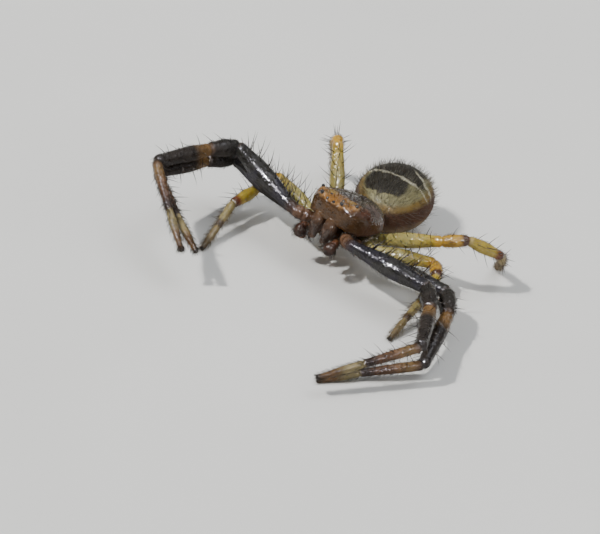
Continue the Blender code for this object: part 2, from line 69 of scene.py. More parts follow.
def turn(axis, degrees):
    """The 3 by 3 matrix of a right-handed turn about X (0), Y (1) or Z (2)."""
    c, s = math.cos(math.radians(degrees)), math.sin(math.radians(degrees))
    matrix = np.eye(3)
    i, j = (axis + 1) % 3, (axis + 2) % 3
    matrix[i, i], matrix[i, j], matrix[j, i], matrix[j, j] = c, -s, s, c
    return matrix


BODY_TURN = turn(0, -BODY_PITCH)
ABDOMEN_TURN = turn(2, ABDOMEN_YAW) @ turn(0, ABDOMEN_TILT)


def to_floor(points):
    """World millimetres: p' = R p + place, where the floor is z = 0."""
    return points @ BODY_TURN.T + BODY_PLACE


def on_floor(points):
    """Body points, with those that would lie below the floor lifted to it."""
    world = to_floor(points)
    world[..., 2] = np.maximum(world[..., 2], 0)
    return (world - BODY_PLACE) @ BODY_TURN


def abdomen_to_body(points):
    """Body millimetres of points in the abdomen's frame: p' = A p + centre."""
    return points @ ABDOMEN_TURN.T + ABDOMEN_CENTRE


print("abdomen's centre over the floor, mm:", to_floor(ABDOMEN_CENTRE).round(3))

# %% [markdown]
# ## Directions
#
# Nearly every piece needs directions of length 1 that stand square to another direction, such
# as the upright on a leg's skin against the leg's heading. Three helpers keep that short.

# %% Directions


def unit(vectors):
    """Vectors divided by their lengths."""
    return vectors / np.linalg.norm(vectors, axis=-1, keepdims=True)


def squared(vectors, axis):
    """Unit vectors at right angles to unit axes: v - axis (v . axis), divided by its length."""
    return unit(vectors - axis * (vectors * axis).sum(-1, keepdims=True))


def mirrored(point, sign):
    """A point of the left side for sign 1, and its mirror image on the right for sign -1."""
    return np.array(point) * np.array([sign, 1, 1])


print("a slope squared to X:", squared(np.array([1.0, 1.0, 0.0]), np.array([1.0, 0.0, 0.0])))

# %% [markdown]
# ## From arrays to meshes
#
# Every visible part ends up as a mesh of points and faces. Whole arrays go into it at once, so a
# piece of ten thousand points needs no loop over its points. Values that a finish reads later
# travel along as attributes, and the frame is told which body the piece rides on.

# %% Pieces of the model


def make_piece(name, points, faces, floats=None):
    """A mesh object at the origin from body millimetres, with float attributes on its points."""
    mesh = bpy.data.meshes.new(name)
    mesh.from_pydata((to_floor(points) * MM).tolist(), [], faces)
    for label, values in (floats or {}).items():
        kind, field = ("FLOAT_VECTOR", "vector") if values.ndim == 2 else ("FLOAT", "value")
        layer = mesh.attributes.new(label, kind, "POINT")
        layer.data.foreach_set(field, values.astype(np.float32).ravel())
    mesh.shade_smooth()
    piece = bpy.data.objects.new(name, mesh)
    bpy.context.scene.collection.objects.link(piece)
    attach(piece, "root")
    return piece


print("solids in the frame before the first piece:", len(bpy.data.meshes))

# %% [markdown]
# ## Tubes
#
# Legs, palps, eyes and the abdomen are all round in section. Each could be modelled in its own
# way, but a stack of rings with a pole at each end serves for all of them: only the rings' places
# and radii differ.

# %% Tubes from rings


def round_angles(columns):
    """Angles that run once round in equal steps."""
    return 2 * np.pi * np.arange(columns) / columns


def rings_about(places, first, second, radii, columns):
    """Rings p + r (first cos a + second sin a) about places along a line."""
    a = round_angles(columns)[:, None]
    way = first[..., None, :] * np.cos(a) + second[..., None, :] * np.sin(a)
    return places[:, None] + way * radii[:, None, None]


def side_quads(rows, columns):
    """Quads between neighbouring rings, which run (ring, point), (ring, next), and back above."""
    i, j = np.meshgrid(np.arange(rows - 1), np.arange(columns), indexing="ij")
    k = (j + 1) % columns
    quads = [i * columns + j, i * columns + k, (i + 1) * columns + k, (i + 1) * columns + j]
    return np.stack(quads, -1).reshape(-1, 4)


def end_fan(columns, first, pole):
    """Triangles from each side of the ring that begins at first to a pole."""
    j = np.arange(columns)
    return np.stack([first + j, first + (j + 1) % columns, np.full(columns, pole)], -1)


def with_poles(grid):
    """Ring points (rows, columns, n) as one list, then the means of the first and last ring."""
    flat = grid.reshape(-1, grid.shape[-1])
    return np.concatenate([flat, grid[0].mean(0)[None], grid[-1].mean(0)[None]])


def tube_piece(name, grid, floats=None):
    """A closed tube from ring points, with attributes given per ring point."""
    rows, columns = grid.shape[:2]
    faces = side_quads(rows, columns).tolist()
    faces += end_fan(columns, 0, rows * columns)[:, ::-1].tolist()
    faces += end_fan(columns, (rows - 1) * columns, rows * columns + 1).tolist()
    values = {}
    for label, value in (floats or {}).items():
        spread = with_poles(value if value.ndim == 3 else value[..., None])
        values[label] = spread if value.ndim == 3 else spread[:, 0]
    return make_piece(name, with_poles(grid), faces, values)


print("quads of a tube of 3 rings of 8 points:", len(side_quads(3, 8)))

# %% [markdown]
# ## Thorns, bristles and hairs
#
# A real bristle leans from the skin it grows on and bends towards the leg's tip. Particle hair
# would be lost in the export, so each is a tiny cone of mesh. Its midline is the running sum of
# steps whose lean grows from root to tip, and its radius shrinks to a point. One array call
# makes thousands of them.

# %% The shape of a thorn
draw = np.random.default_rng(11)
TAPER = 1.4
ROOT_SINK = 0.02  # mm below the skin
PATCH = 0.003  # a thorn's share of the UV map
PATCH_TURN = 7  # radians across a patch, a little over a full turn
MAP_EDGE = 0.01


def vary(values, share):
    """Values times random factors within a share of 1."""
    return values * draw.uniform(1 - share, 1 + share, np.shape(values))


def coat_of(root, up, ahead, length, radius, lean, bend, tone, unwrap, sink=ROOT_SINK, **more):
    """A coat's arrays, one row for each thorn; a lone number holds for all of them."""
    numbers = {"length": length, "radius": radius, "lean": lean, "droop": lean + bend}
    numbers.update(tone=tone, sink=sink)
    coat = {label: np.full(len(root), value) for label, value in numbers.items()}
    return {**coat, "root": root, "up": up, "ahead": ahead, "unwrap": unwrap, **more}


def thorn_points(coat, sides, rings):
    """Rings of sides points and a tip for each thorn, about p(t) = root + the steps so far.

    A step is up cos(lean) + ahead sin(lean), and the radius is r (1 - t^taper).
    """
    count = len(coat["root"])
    steps = np.arange(rings + 1) / rings
    lean = coat["lean"][:, None] + (coat["droop"] - coat["lean"])[:, None] * steps
    way = coat["up"][:, None] * np.cos(lean)[..., None] + coat["ahead"][:, None] * np.sin(lean)[..., None]
    stride = way * (coat["length"] / rings)[:, None, None]
    so_far = np.concatenate([np.zeros((count, 1, 3)), np.cumsum(stride[:, :-1], 1)], 1)
    line = coat["root"][:, None] + so_far
    line[:, 0] -= way[:, 0] * coat["sink"][:, None]
    across = unit(np.cross(coat["up"], coat["ahead"]))[:, None]
    other = np.cross(way, across)
    a = round_angles(sides)[:, None]
    spin = across[:, :, None] * np.cos(a) + other[:, :, None] * np.sin(a)
    radius = coat["radius"][:, None] * (1 - steps**TAPER)
    rims = line[:, :-1, None] + spin[:, :-1] * radius[:, :-1, None, None]
    return on_floor(np.concatenate([rims.reshape(count, -1, 3), line[:, -1:]], 1))


print("random draws start from a fixed seed:", draw.bit_generator.state["bit_generator"])

# %% [markdown]
# ## A coat as one mesh
#
# All thorns of a coat are joined in one mesh, closed at the root and at the point. Each keeps a
# tiny patch of its own in the UV map, at its root's place on an unwrap of the skin, so that it
# can be baked with the colour it has. The attributes tell its finish which hair it is (tone) and
# how far along it a point lies (tip).

# %% Coats of thorns


def thorn_faces(count, sides, rings):
    """Quads up each thorn, a fan at its point, and one face that closes its root."""
    each = rings * sides + 1
    shift = (np.arange(count) * each)[:, None, None]
    faces = (side_quads(rings, sides) + shift).reshape(-1, 4).tolist()
    faces += (end_fan(sides, (rings - 1) * sides, each - 1) + shift).reshape(-1, 3).tolist()
    return faces + (np.arange(sides)[::-1] + shift[:, 0]).tolist()


def lay_bake_map(piece, unwrap, sides, rings):
    """UV map OFBake: each thorn is a patch, round its girth by along its length, at its root's place."""
    girth, along = np.meshgrid(round_angles(sides) / PATCH_TURN, np.arange(rings) / rings)
    patch = np.concatenate([np.stack([girth, along], -1).reshape(-1, 2), [[0.5, 1.0]]])
    roots = MAP_EDGE + (1 - 2 * MAP_EDGE) * np.repeat(unwrap, len(patch), axis=0)
    places = roots + PATCH * np.tile(patch, (len(unwrap), 1))
    corners = np.empty(len(piece.data.loops), dtype=np.int32)
    piece.data.loops.foreach_get("vertex_index", corners)
    layer = piece.data.uv_layers.new(name="OFBake")
    layer.uv.foreach_set("vector", places[corners].astype(np.float32).ravel())


def coat_piece(name, coat, sides=3, rings=2):
    """One mesh of all thorns of a coat, with the attributes tone, tip and, if given, plan."""
    points = thorn_points(coat, sides, rings)
    count, each = points.shape[:2]
    labels = [label for label in ("tone", "plan") if label in coat]
    floats = {label: np.repeat(coat[label], each, axis=0) for label in labels}
    floats["tip"] = np.tile(np.append(np.repeat(np.arange(rings) / rings, sides), 1.0), count)
    piece = make_piece(name, points.reshape(-1, 3), thorn_faces(count, sides, rings), floats)
    lay_bake_map(piece, coat["unwrap"], sides, rings)
    return piece


print("faces of a hair with 3 sides and 2 rings:", len(thorn_faces(1, 3, 2)))

# %% [markdown]
# ## The legs' proportions
#
# Each leg has six parts here: coxa, femur, patella, tibia, metatarsus and tarsus. The ring
# between coxa and femur, the trochanter, is so short that it is only a neck. The front pairs are
# long and stout for catching, the hind pairs short and thin for standing. Tables of lengths and
# radii keep left and right alike, which legs modelled one by one would not be.

# %% Lengths and radii
SEGMENTS = ("coxa", "femur", "patella", "tibia", "metatarsus", "tarsus")
LEG_KINDS = {1: "front", 2: "front", 3: "hind", 4: "hind"}
LENGTHS = {  # mm of femur, patella, tibia, metatarsus and tarsus
    1: (2.39, 0.90, 1.78, 1.47, 1.21),
    2: (2.53, 0.88, 1.82, 1.58, 1.22),
    3: (1.64, 0.62, 0.90, 0.80, 0.74),
    4: (1.80, 0.66, 1.08, 0.85, 0.66),
}
RADII = {  # mm at each segment's start, swelling and end, and the swelling's place as a share
    "front": (
        (0.125, 0.165, 0.150, 0.50),
        (0.150, 0.262, 0.180, 0.58),
        (0.180, 0.222, 0.172, 0.45),
        (0.160, 0.196, 0.150, 0.35),
        (0.120, 0.125, 0.100, 0.30),
        (0.092, 0.100, 0.060, 0.35),
    ),
    "hind": (
        (0.120, 0.155, 0.140, 0.50),
        (0.140, 0.195, 0.140, 0.45),
        (0.135, 0.165, 0.130, 0.45),
        (0.122, 0.160, 0.120, 0.40),
        (0.098, 0.108, 0.088, 0.30),
        (0.082, 0.090, 0.055, 0.35),
    ),
}
SECOND_FEMUR = (0.92, 0.97)  # its swelling and its end, beside the first femur's


def segment_radii(number):
    """Start, swelling, end and the swelling's place, one row for each segment of a leg."""
    radii = np.array(RADII[LEG_KINDS[number]])
    if number == 2:
        radii[SEGMENTS.index("femur"), 1:3] *= SECOND_FEMUR
    return radii


for number, parts in LENGTHS.items():
    print(f"leg {number}, femur to tarsus, mm:", round(sum(parts), 2))

# %% [markdown]
# ## The legs' corners
#
# A crab spider holds its two long front pairs out sideways with their knees turned, ready to
# close on a visitor, and stands on the short hind pairs. A leg is given as one would bend wire:
# by the angle at each joint. A turtle that walks the segments' lengths and turns by the angles
# gives the corners, and each foot that stands is cut to length where its sole meets the floor.

# %% The stance
COXA_ROOTS = {
    1: (0.42, -0.52, -0.27),
    2: (0.46, -0.20, -0.37),
    3: (0.46, 0.09, -0.37),
    4: (0.36, 0.36, -0.33),
}
HIPS = {1: (0.96, -1.00, -0.12), 2: (1.01, -0.55, -0.38), 3: (1.02, -0.10, -0.40), 4: (0.76, 0.47, -0.31)}
# Degrees: the femur's heading, its rise, the turn of the leg's plane, then the bends at the knee,
# patella (in the plane and across it), tibia (in the plane and across it) and metatarsus.
ANGLES = {
    (1, "right"): (-3, 14, 84, 83, 8, 2, 71, -14, 2),
    (1, "left"): (-11, -2, 80, 54, 10, 2, 62, -18, 0),
    (2, "right"): (0, 8, 85, 78, 14, 3, 68, -9, 4),
    (2, "left"): (-14, 1, 73, 59, 19, -7, 57, 0, -5),
    (3, "right"): (-8, 8, 52, 92, 12, 22, 14, -19, -2),
    (3, "left"): (-45, 2, 82, 88, 25, -15, 7, -6, -1),
    (4, "right"): (-25, 57, -23, 85, 2, -2, 20, -1, 7),
    (4, "left"): (-10, 24, -84, 34, 31, 26, 51, 3, 11),
}
STANDING = {(2, "left"), (3, "left"), (3, "right"), (4, "left"), (4, "right")}
SOLE_CUT = 0.012  # mm of a standing foot's round end, lost at the floor


def rotate_pair(first, second, degrees):
    """first' = first cos + second sin, second' = second cos - first sin."""
    c, s = math.cos(math.radians(degrees)), math.sin(math.radians(degrees))
    return first * c + second * s, second * c - first * s


def leg_corners(number, side):
    """Corners from the coxa's root to the tip, and for each segment its back and front faces."""
    sign = SIDES[side]
    heading, rise, twist, knee, patella, patella_side, tibia, tibia_side, last = ANGLES[number, side]
    outward, ahead = rotate_pair(np.array([sign, 0.0, 0.0]), np.array([0.0, -1.0, 0.0]), heading)
    along, upward = rotate_pair(outward, np.array([0.0, 0.0, 1.0]), rise)
    down, across = rotate_pair(-upward, ahead, twist)
    corners = [mirrored(COXA_ROOTS[number], sign), mirrored(HIPS[number], sign)]
    backs, fronts = [-down], [across]
    bends = ((0, 0), (knee, 0), (patella, patella_side), (tibia, tibia_side), (last, 0))
    for length, (bend, sideways) in zip(LENGTHS[number], bends):
        along, down = rotate_pair(along, down, bend)
        along, across = rotate_pair(along, across, sideways)
        corners.append(corners[-1] + along * length)
        backs.append(-down)
        fronts.append(across)
    if (number, side) in STANDING:
        low, high = to_floor(corners[-1])[2], to_floor(corners[-2])[2]
        slope = (high - low) / LENGTHS[number][-1]
        radius = segment_radii(number)[-1, 2]
        corners[-1] = corners[-2] + along * ((high - radius + SOLE_CUT) / slope + radius)
    return np.array(corners), np.array(backs), np.array(fronts)


tips = {key: to_floor(leg_corners(*key)[0][-1])[2].round(2) for key in ANGLES if key not in STANDING}
print("raised tips over the floor, mm:", {f"{number} {side}": float(z) for (number, side), z in tips.items()})

# %% [markdown]
# ## From corners to a smooth midline
#
# A leg bends at soft joints between stiff segments. A tube with sharp corners would be pinched
# there, and a spline through the corners would bow the straight segments. So straight runs are
# joined by round bends, whose headings turn evenly.

# %% Round bends


def bent_path(corners, bends, spacing):
    """Places, headings and lengths along straight runs joined by arcs of the given radii.

    A bend of radius b between runs that turn by w starts b tan(w / 2) before the corner, and on
    it p = start + b (h sin a + n (1 - cos a)), with h the heading and n towards the centre.
    """
    ways = unit(np.diff(corners, axis=0))
    turns = np.arccos(np.clip((ways[:-1] * ways[1:]).sum(1), -1, 1))
    setbacks = np.concatenate([[0], bends * np.tan(turns / 2), [0]])
    places, headings, lengths, joints = [], [], [], [0.0]
    length = 0.0
    for i, way in enumerate(ways):
        run = np.linalg.norm(corners[i + 1] - corners[i]) - setbacks[i] - setbacks[i + 1]
        steps = np.linspace(0, run, max(2, math.ceil(run / spacing)), endpoint=i == len(ways) - 1)
        places.append(corners[i] + way * (setbacks[i] + steps)[:, None])
        headings.append(np.repeat(way[None], len(steps), 0))
        lengths.append(length + steps)
        length += run
        if i < len(turns):
            inward = squared(ways[i + 1], way)
            arc = bends[i] * turns[i]
            a = np.linspace(0, turns[i], max(4, math.ceil(arc / spacing)), endpoint=False)[:, None]
            start = corners[i + 1] - way * setbacks[i + 1]
            places.append(start + bends[i] * (way * np.sin(a) + inward * (1 - np.cos(a))))
            headings.append(way * np.cos(a) + inward * np.sin(a))
            lengths.append(length + bends[i] * a[:, 0])
            joints.append(length + arc / 2)
            length += arc
    joints.append(length)
    return np.concatenate(places), np.concatenate(headings), np.concatenate(lengths), np.array(joints)


square = np.array([[0.0, 0.0, 0.0], [1.0, 0.0, 0.0], [1.0, 1.0, 0.0]])
joints = bent_path(square, np.array([0.2]), 0.1)[3]
print("a corner of 1 + 1 mm is shorter when rounded by 0.2 mm:", joints[-1].round(3))

# %% [markdown]
# ## What varies along a leg
#
# Skin, spines and hairs all need to know the same things at any place on a leg: which way its
# back and front face, how many segments it lies from the root, and its radius, swollen in the
# middle of each segment. They are worked out once for each leg, at stations along its midline.

# %% Stations along a leg
BEND_CLEARANCE = 1.3  # a bend's radius over the leg's
STATION_SPACING = 0.03  # mm


def smooth_step(values):
    """3 t^2 - 2 t^3 on values clipped to 0..1."""
    t = np.clip(values, 0, 1)
    return t * t * (3 - 2 * t)


def blend_faces(faces, segment, headings):
    """One direction per station, eased from each segment's to the next's and squared to the heading."""
    q = np.clip(segment - 0.5, 0, len(faces) - 1.001)
    low = q.astype(int)
    share = smooth_step((q - low - 0.35) / 0.3)[:, None]
    return squared(faces[low] * (1 - share) + faces[low + 1] * share, headings)


def swelling(radii, segment):
    """Radius eased by half cosines from start to belly to end along each segment."""
    index = np.clip(segment.astype(int), 0, len(radii) - 1)
    share = np.clip(segment - index, 0, 1)
    start, belly, end, place = radii[index].T
    rising = (1 - np.cos(np.pi * np.clip(share / place, 0, 1))) / 2
    falling = (1 - np.cos(np.pi * np.clip((share - place) / (1 - place), 0, 1))) / 2
    return start + (belly - start) * rising + (end - belly) * falling


def leg_line(number, side):
    """Everything along one leg: places, headings, backs, fronts, radii and segment shares."""
    radii = segment_radii(number)
    corners, backs, fronts = leg_corners(number, side)
    bends = np.maximum(radii[:-1, 2], radii[1:, 0]) * BEND_CLEARANCE
    places, headings, lengths, joints = bent_path(corners, bends, STATION_SPACING)
    segment = np.interp(lengths, joints, np.arange(len(joints)))
    line = {"place": places, "heading": headings, "length": lengths, "joints": joints, "segment": segment}
    line["back"] = blend_faces(backs, segment, headings)
    line["front"] = blend_faces(fronts, segment, headings)
    line["radius"] = swelling(radii, segment)
    return line


lines = {(number, side): leg_line(number, side) for number in LENGTHS for side in SIDES}
lengths = {f"{number} {side}": round(float(line["length"][-1]), 2) for (number, side), line in lines.items()}
print("leg lengths along their bends, mm:", lengths)

# %% [markdown]
# ## Leg skins
#
# On the real leg each segment is a hard tube that flares a little at its ends, and between two
# tubes there is a neck of soft skin. A ring at every station carries that: the radius dips at
# each joint and rises just beside it. One tube from hip to tip shows no seam, and the feet that
# stand are pressed flat at the floor.

# %% Leg skins
NECK_DEPTH = 0.17
NECK_WIDTH = 0.030  # mm
FLARE = 0.05
FLARE_PLACE = 0.10  # mm from the joint
FLARE_WIDTH = 0.05
TROCHANTER = 0.66  # segments from the coxa's root
RING_POINTS = 32
TIP_RINGS = np.radians([0, 18, 36, 54, 70, 82])


def joint_relief(line):
    """1 - neck exp(-(d/w)^2) + flare exp(-((d-p)/f)^2), with d the distance to the nearest joint."""
    trochanter = np.interp(TROCHANTER, line["segment"], line["length"])
    inner = np.append(line["joints"][1:-1], trochanter)
    away = np.abs(line["length"][:, None] - inner).min(1)
    relief = 1 - NECK_DEPTH * np.exp(-((away / NECK_WIDTH) ** 2))
    return relief + FLARE * np.exp(-(((away - FLARE_PLACE) / FLARE_WIDTH) ** 2))


def leg_rings(line):
    """Rings about the midline, and a round tip whose rings lie at r sin b with radius r cos b."""
    reach = line["radius"][-1]
    keep = line["length"] <= line["length"][-1] - reach
    rows = len(TIP_RINGS)
    station = np.append(np.flatnonzero(keep), np.full(rows, len(keep) - 1))
    back, heading = line["back"][station], line["heading"][station]
    centre = line["place"][-1] - heading[-1] * reach
    place = np.concatenate([line["place"][keep], centre + heading[-1] * reach * np.sin(TIP_RINGS)[:, None]])
    radius = np.append((line["radius"] * joint_relief(line))[keep], reach * np.cos(TIP_RINGS))
    segment = np.append(line["segment"][keep], np.linspace(line["segment"][keep][-1], len(SEGMENTS), rows))
    rings = rings_about(place, back, np.cross(heading, back), radius, RING_POINTS)
    return rings, np.repeat(segment[:, None], RING_POINTS, 1)


skins = {}
for (number, side), line in lines.items():
    rings, segment = leg_rings(line)
    skin = tube_piece(f"leg_{number}_{side}_skin", on_floor(rings), {"segment": segment})
    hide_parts(*[f"leg_{number}_{side}_{part}" for part in SEGMENTS[1:]])
    skins[number, side] = skin
print("leg skins:", len(skins), "of about", len(skins[1, "left"].data.polygons), "faces")

# %% [markdown]
# ## Roots on a leg
#
# A spine or hair grows from a socket in the cuticle. Its root is given by how many segments it
# lies from the body and by its turn from the leg's back face, and it leans towards the foot. So
# the same numbers place it on any leg. A thorn that would touch the floor is left out.

# %% Roots on a leg
TIP_CLEARANCE = 0.02  # mm that a thorn's tip keeps above the floor
MIDDLE_CLEARANCE = 0.03


def roots_on(line, segment, angle):
    """Root, upright and ahead on a leg at segment shares and turns from its back face."""
    rails = {}
    for name in ("place", "heading", "back", "front"):
        axes = line[name].T
        rails[name] = np.stack([np.interp(segment, line["segment"], axis) for axis in axes], -1)
    heading = unit(rails["heading"])
    up = rails["back"] * np.cos(angle)[:, None] + rails["front"] * np.sin(angle)[:, None]
    up = squared(up, heading)
    radius = np.interp(segment, line["segment"], line["radius"] * joint_relief(line))
    return rails["place"] + up * radius[:, None], up, heading


def leg_coat(line, segment, angle, length, radius, lean, bend):
    """A coat on one leg, without the thorns that would reach down to the floor."""
    root, up, ahead = roots_on(line, segment, angle)
    middle = lean[:, None] + bend / 2
    reach = length[:, None] * (up * np.cos(middle) + ahead * np.sin(middle))
    keep = to_floor(root + reach)[:, 2] > TIP_CLEARANCE
    keep &= to_floor(root + reach / 2)[:, 2] > MIDDLE_CLEARANCE
    unwrap = np.stack([np.mod(angle / (2 * np.pi), 1), segment / len(SEGMENTS)], -1)
    coat = coat_of(root, up, ahead, length, radius, lean, bend, draw.random(len(root)), unwrap)
    return {label: values[keep] for label, values in coat.items()}


root, up, _ = roots_on(lines[1, "left"], np.array([1.5]), np.array([0.0]))
print("a root half way along the first left femur, mm:", root.round(2)[0], "facing", up.round(2)[0])

# %% [markdown]
# ## Rows of spines
#
# Stout dark spines stand in rows: along the upper face of the front femora, in pairs under the
# tibiae and metatarsi where they close on prey, and along the back of the hind legs. Placing each
# by hand would take hours, so a table holds a row's turn, count and length, and a little chance
# keeps the rows from looking stamped.

# %% Rows of spines
SPINE_ROWS = {  # degrees from the back face, count and length in mm, for each segment from the coxa
    "front": {
        1: ((95, 7, 0.54), (70, 6, 0.50), (45, 6, 0.48), (10, 4, 0.40), (125, 5, 0.36)),
        2: ((20, 2, 0.34), (100, 2, 0.32)),
        3: ((155, 4, 0.44), (205, 4, 0.44), (75, 3, 0.38), (0, 3, 0.36), (-60, 2, 0.32)),
        4: ((150, 4, 0.36), (210, 4, 0.36), (80, 3, 0.28), (-70, 3, 0.26)),
    },
    "hind": {
        1: ((0, 6, 0.52), (35, 5, 0.48), (-35, 5, 0.46), (75, 3, 0.38), (-75, 3, 0.36)),
        2: ((0, 2, 0.38), (60, 1, 0.32), (-60, 1, 0.32)),
        3: ((0, 3, 0.40), (70, 3, 0.36), (-70, 3, 0.34), (170, 2, 0.28)),
        4: ((0, 2, 0.26), (60, 3, 0.28), (-60, 3, 0.28), (170, 2, 0.24)),
    },
}


def spines_on(line, rows):
    """The stout spines of a leg from its rows of turn, count and length."""
    segment, angle, length = [], [], []
    for index, sets in rows.items():
        for turned, count, size in sets:
            share = (np.arange(count) + 0.75 + draw.uniform(-0.2, 0.2, count)) / (count + 0.5)
            segment.append(index + np.clip(share, 0.12, 0.95))
            angle.append(np.radians(turned + draw.uniform(-9, 9, count)))
            length.append(vary(np.full(count, size), 0.16))
    segment, angle, length = map(np.concatenate, (segment, angle, length))
    lean = np.radians(draw.uniform(14, 32, len(segment)))
    return leg_coat(line, segment, angle, length, 0.0062 + 0.010 * length, lean, 0.3)


for kind, rows in SPINE_ROWS.items():
    print(kind, "leg: spines in the table:", sum(count for sets in rows.values() for _, count, _ in sets))

# %% [markdown]
# ## Hairs between the spines
#
# Fine hairs cover everything between the spines. They are longest under the front femora and
# thickest towards the feet. Roots are drawn at random, with a power of the draw that crowds them
# towards the foot. Legs pass close by each other, so a thorn that would pierce another leg is
# dropped before the mesh is made.

# %% Leg spines and hairs
HAIR_COUNTS = {"front": 2300, "hind": 1500}
LEG_CLEARANCE = 0.02  # mm between a thorn and another leg


def hairs_on(line, count):
    """Fine hairs all over a leg, denser and longer towards the foot and under the femur."""
    segment = 0.35 + 5.6 * draw.random(count) ** 0.8
    angle = draw.uniform(-np.pi, np.pi, count)
    under = np.exp(-((segment - 1.5) ** 2) / 0.3) * (0.5 - 0.5 * np.cos(angle))
    foot = smooth_step((segment - 3.7) / 1.2)
    length = vary(0.075 + 0.07 * under + 0.055 * foot, 0.4)
    lean = np.radians(draw.uniform(38, 58, count))
    return leg_coat(line, segment, angle, length, 0.0034 + 0.0008 * foot, lean, 0.3)


def clear_of(coat, others):
    """The coat without the thorns whose tip or middle would lie inside another leg."""
    tip = coat["root"] + (coat["up"] * 0.75 + coat["ahead"] * 0.6) * coat["length"][:, None]
    free = np.ones(len(tip), dtype=bool)
    for point in (tip, (coat["root"] + tip) / 2):
        for other in others:
            away = np.linalg.norm(point[:, None] - other["place"][None], axis=2) - other["radius"]
            free &= away.min(1) > LEG_CLEARANCE
    return {label: values[free] for label, values in coat.items()}


coats = {}
for (number, side), line in lines.items():
    others = [other for key, other in lines.items() if key != (number, side)]
    kind, name = LEG_KINDS[number], f"leg_{number}_{side}"
    spines = clear_of(spines_on(line, SPINE_ROWS[kind]), others)
    hairs = clear_of(hairs_on(line, HAIR_COUNTS[kind]), others)
    coats[number, side, "spines"] = coat_piece(f"{name}_spines", spines, 5, 4)
    coats[number, side, "hairs"] = coat_piece(f"{name}_hairs", hairs)
    print(f"{name}: {len(spines['root'])} spines, {len(hairs['root'])} hairs")

# %% [markdown]
# ## Claws and their tufts
#
# Each foot ends in two small curved claws inside a tuft of short dark hairs, which is how the
# animal holds to a smooth petal. A claw is a thorn that bends much further than a hair, so the
# same coat makes both, with more sides and rings for the claws because they are thicker.

# %% Claws and tufts
CLAW_LENGTH = 0.085  # mm
SKYWARD = BODY_TURN[2]  # straight up from the floor, in the body's frame


def claw_coat():
    """Two claws for each foot that curve down from beside the tip."""
    root, up, ahead = [], [], []
    for line in lines.values():
        heading, reach = line["heading"][-1], line["radius"][-1]
        back = squared(SKYWARD, heading)
        front = np.cross(heading, back)
        for sign in (-1, 1):
            beside = back * 0.85 + front * 0.40 * sign - heading * 0.55
            root.append(line["place"][-1] + beside * reach)
            up.append(unit(back * 0.8 + front * 0.3 * sign))
            ahead.append(squared(heading, up[-1]))
    root, up, ahead = map(np.array, (root, up, ahead))
    unwrap = np.stack([np.linspace(0.05, 0.95, len(root)), np.full(len(root), 0.99)], -1)
    return coat_of(root, up, ahead, CLAW_LENGTH, 0.016, 1.05, 0.95, 0.2, unwrap, sink=0.03)


def tuft_coat(line, count=70):
    """Short hairs round the end of a tarsus that lean forward past its tip."""
    segment = draw.uniform(5.86, 5.985, count)
    angle = draw.uniform(-np.pi, np.pi, count)
    length = vary(np.full(count, 0.085), 0.25)
    lean = np.radians(draw.uniform(50, 75, count))
    return leg_coat(line, segment, angle, length, 0.006, lean, 0.2)


claws = coat_piece("claws", claw_coat(), 6, 7)
tufts = []
for (number, side), line in lines.items():
    tufts.append(coat_piece(f"leg_{number}_{side}_tuft", tuft_coat(line)))
print("claws:", 2 * len(lines), "in", len(tufts), "tufts")

# %% [markdown]
# ## The carapace's outline
#
# The shield over the head and chest is nearly as wide as it is long, and blunt at the face. It
# could be sculpted, but formulas on shares of its width and length keep the outline, the dome,
# the eye mounds and the grooves apart, so each can be set alone. The same shares carry its colours.

# %% Carapace outline
CARAPACE_HALF_WIDTH = 0.90  # mm, as are the next lengths and heights
CARAPACE_FRONT = 1.00
CARAPACE_REAR = 0.90
CARAPACE_HEIGHT = 0.57
HEAD_RISE = 0.13
FACE_LIFT = 0.16
CARAPACE_DEPTH = 0.12
REAR_NARROWING = 0.16  # a share of the width


def carapace_outline(u, v):
    """(x, y) of shares (u, v): a superellipse of power 2.25 - v / 4, narrower behind."""
    reach = np.hypot(u, v) + 1e-9
    power = 2.25 - 0.25 * v
    stretch = ((np.abs(u) / reach) ** power + (np.abs(v) / reach) ** power) ** (-1 / power)
    width = CARAPACE_HALF_WIDTH * (1 - REAR_NARROWING * np.maximum(0, v) ** 2)
    length = np.where(v < 0, CARAPACE_FRONT, CARAPACE_REAR)
    return width * u * stretch, length * v * stretch


print("width across the carapace, mm:", 2 * float(carapace_outline(1.0, 0.0)[0].round(3)))

# %% [markdown]
# ## Mounds and grooves
#
# The side eyes sit on low mounds. Two furrows part the head from the chest, and behind them lie
# a pit, where the stomach's muscles hold on inside, and faint rays. Each is a soft bell of height
# about a point or a line, which is added to the dome, so the mesh needs no extra detail.

# %% Mounds and grooves
TUBERCLE_HEIGHT = 0.080  # mm
TUBERCLE_SPREAD = 0.110  # mm
EYES = {  # place in shares of width and length, and radius in mm
    "front_middle": (0.12, -0.93, 0.038),
    "front_side": (0.36, -0.87, 0.052),
    "rear_middle": (0.22, -0.68, 0.034),
    "rear_side": (0.61, -0.57, 0.047),
}
GROOVES = (  # start, end, width and depth: the head's furrow, the pit, and three faint rays
    ((0.66, -0.30), (0.10, 0.28), 0.07, 0.030),
    ((0.0, 0.26), (0.0, 0.42), 0.06, 0.030),
    ((0.12, 0.32), (0.75, 0.05), 0.06, 0.014),
    ((0.12, 0.32), (0.72, 0.38), 0.06, 0.014),
    ((0.12, 0.32), (0.48, 0.70), 0.06, 0.014),
)


def groove(u, v, start, end, width):
    """exp(-(d/w)^2), with d the distance to the stretch from start to end in shares."""
    start, end = np.array(start), np.array(end)
    span = end - start
    t = np.clip(((u - start[0]) * span[0] + (v - start[1]) * span[1]) / (span @ span), 0, 1)
    d = np.hypot(u - start[0] - span[0] * t, v - start[1] - span[1] * t)
    return np.exp(-((d / width) ** 2))


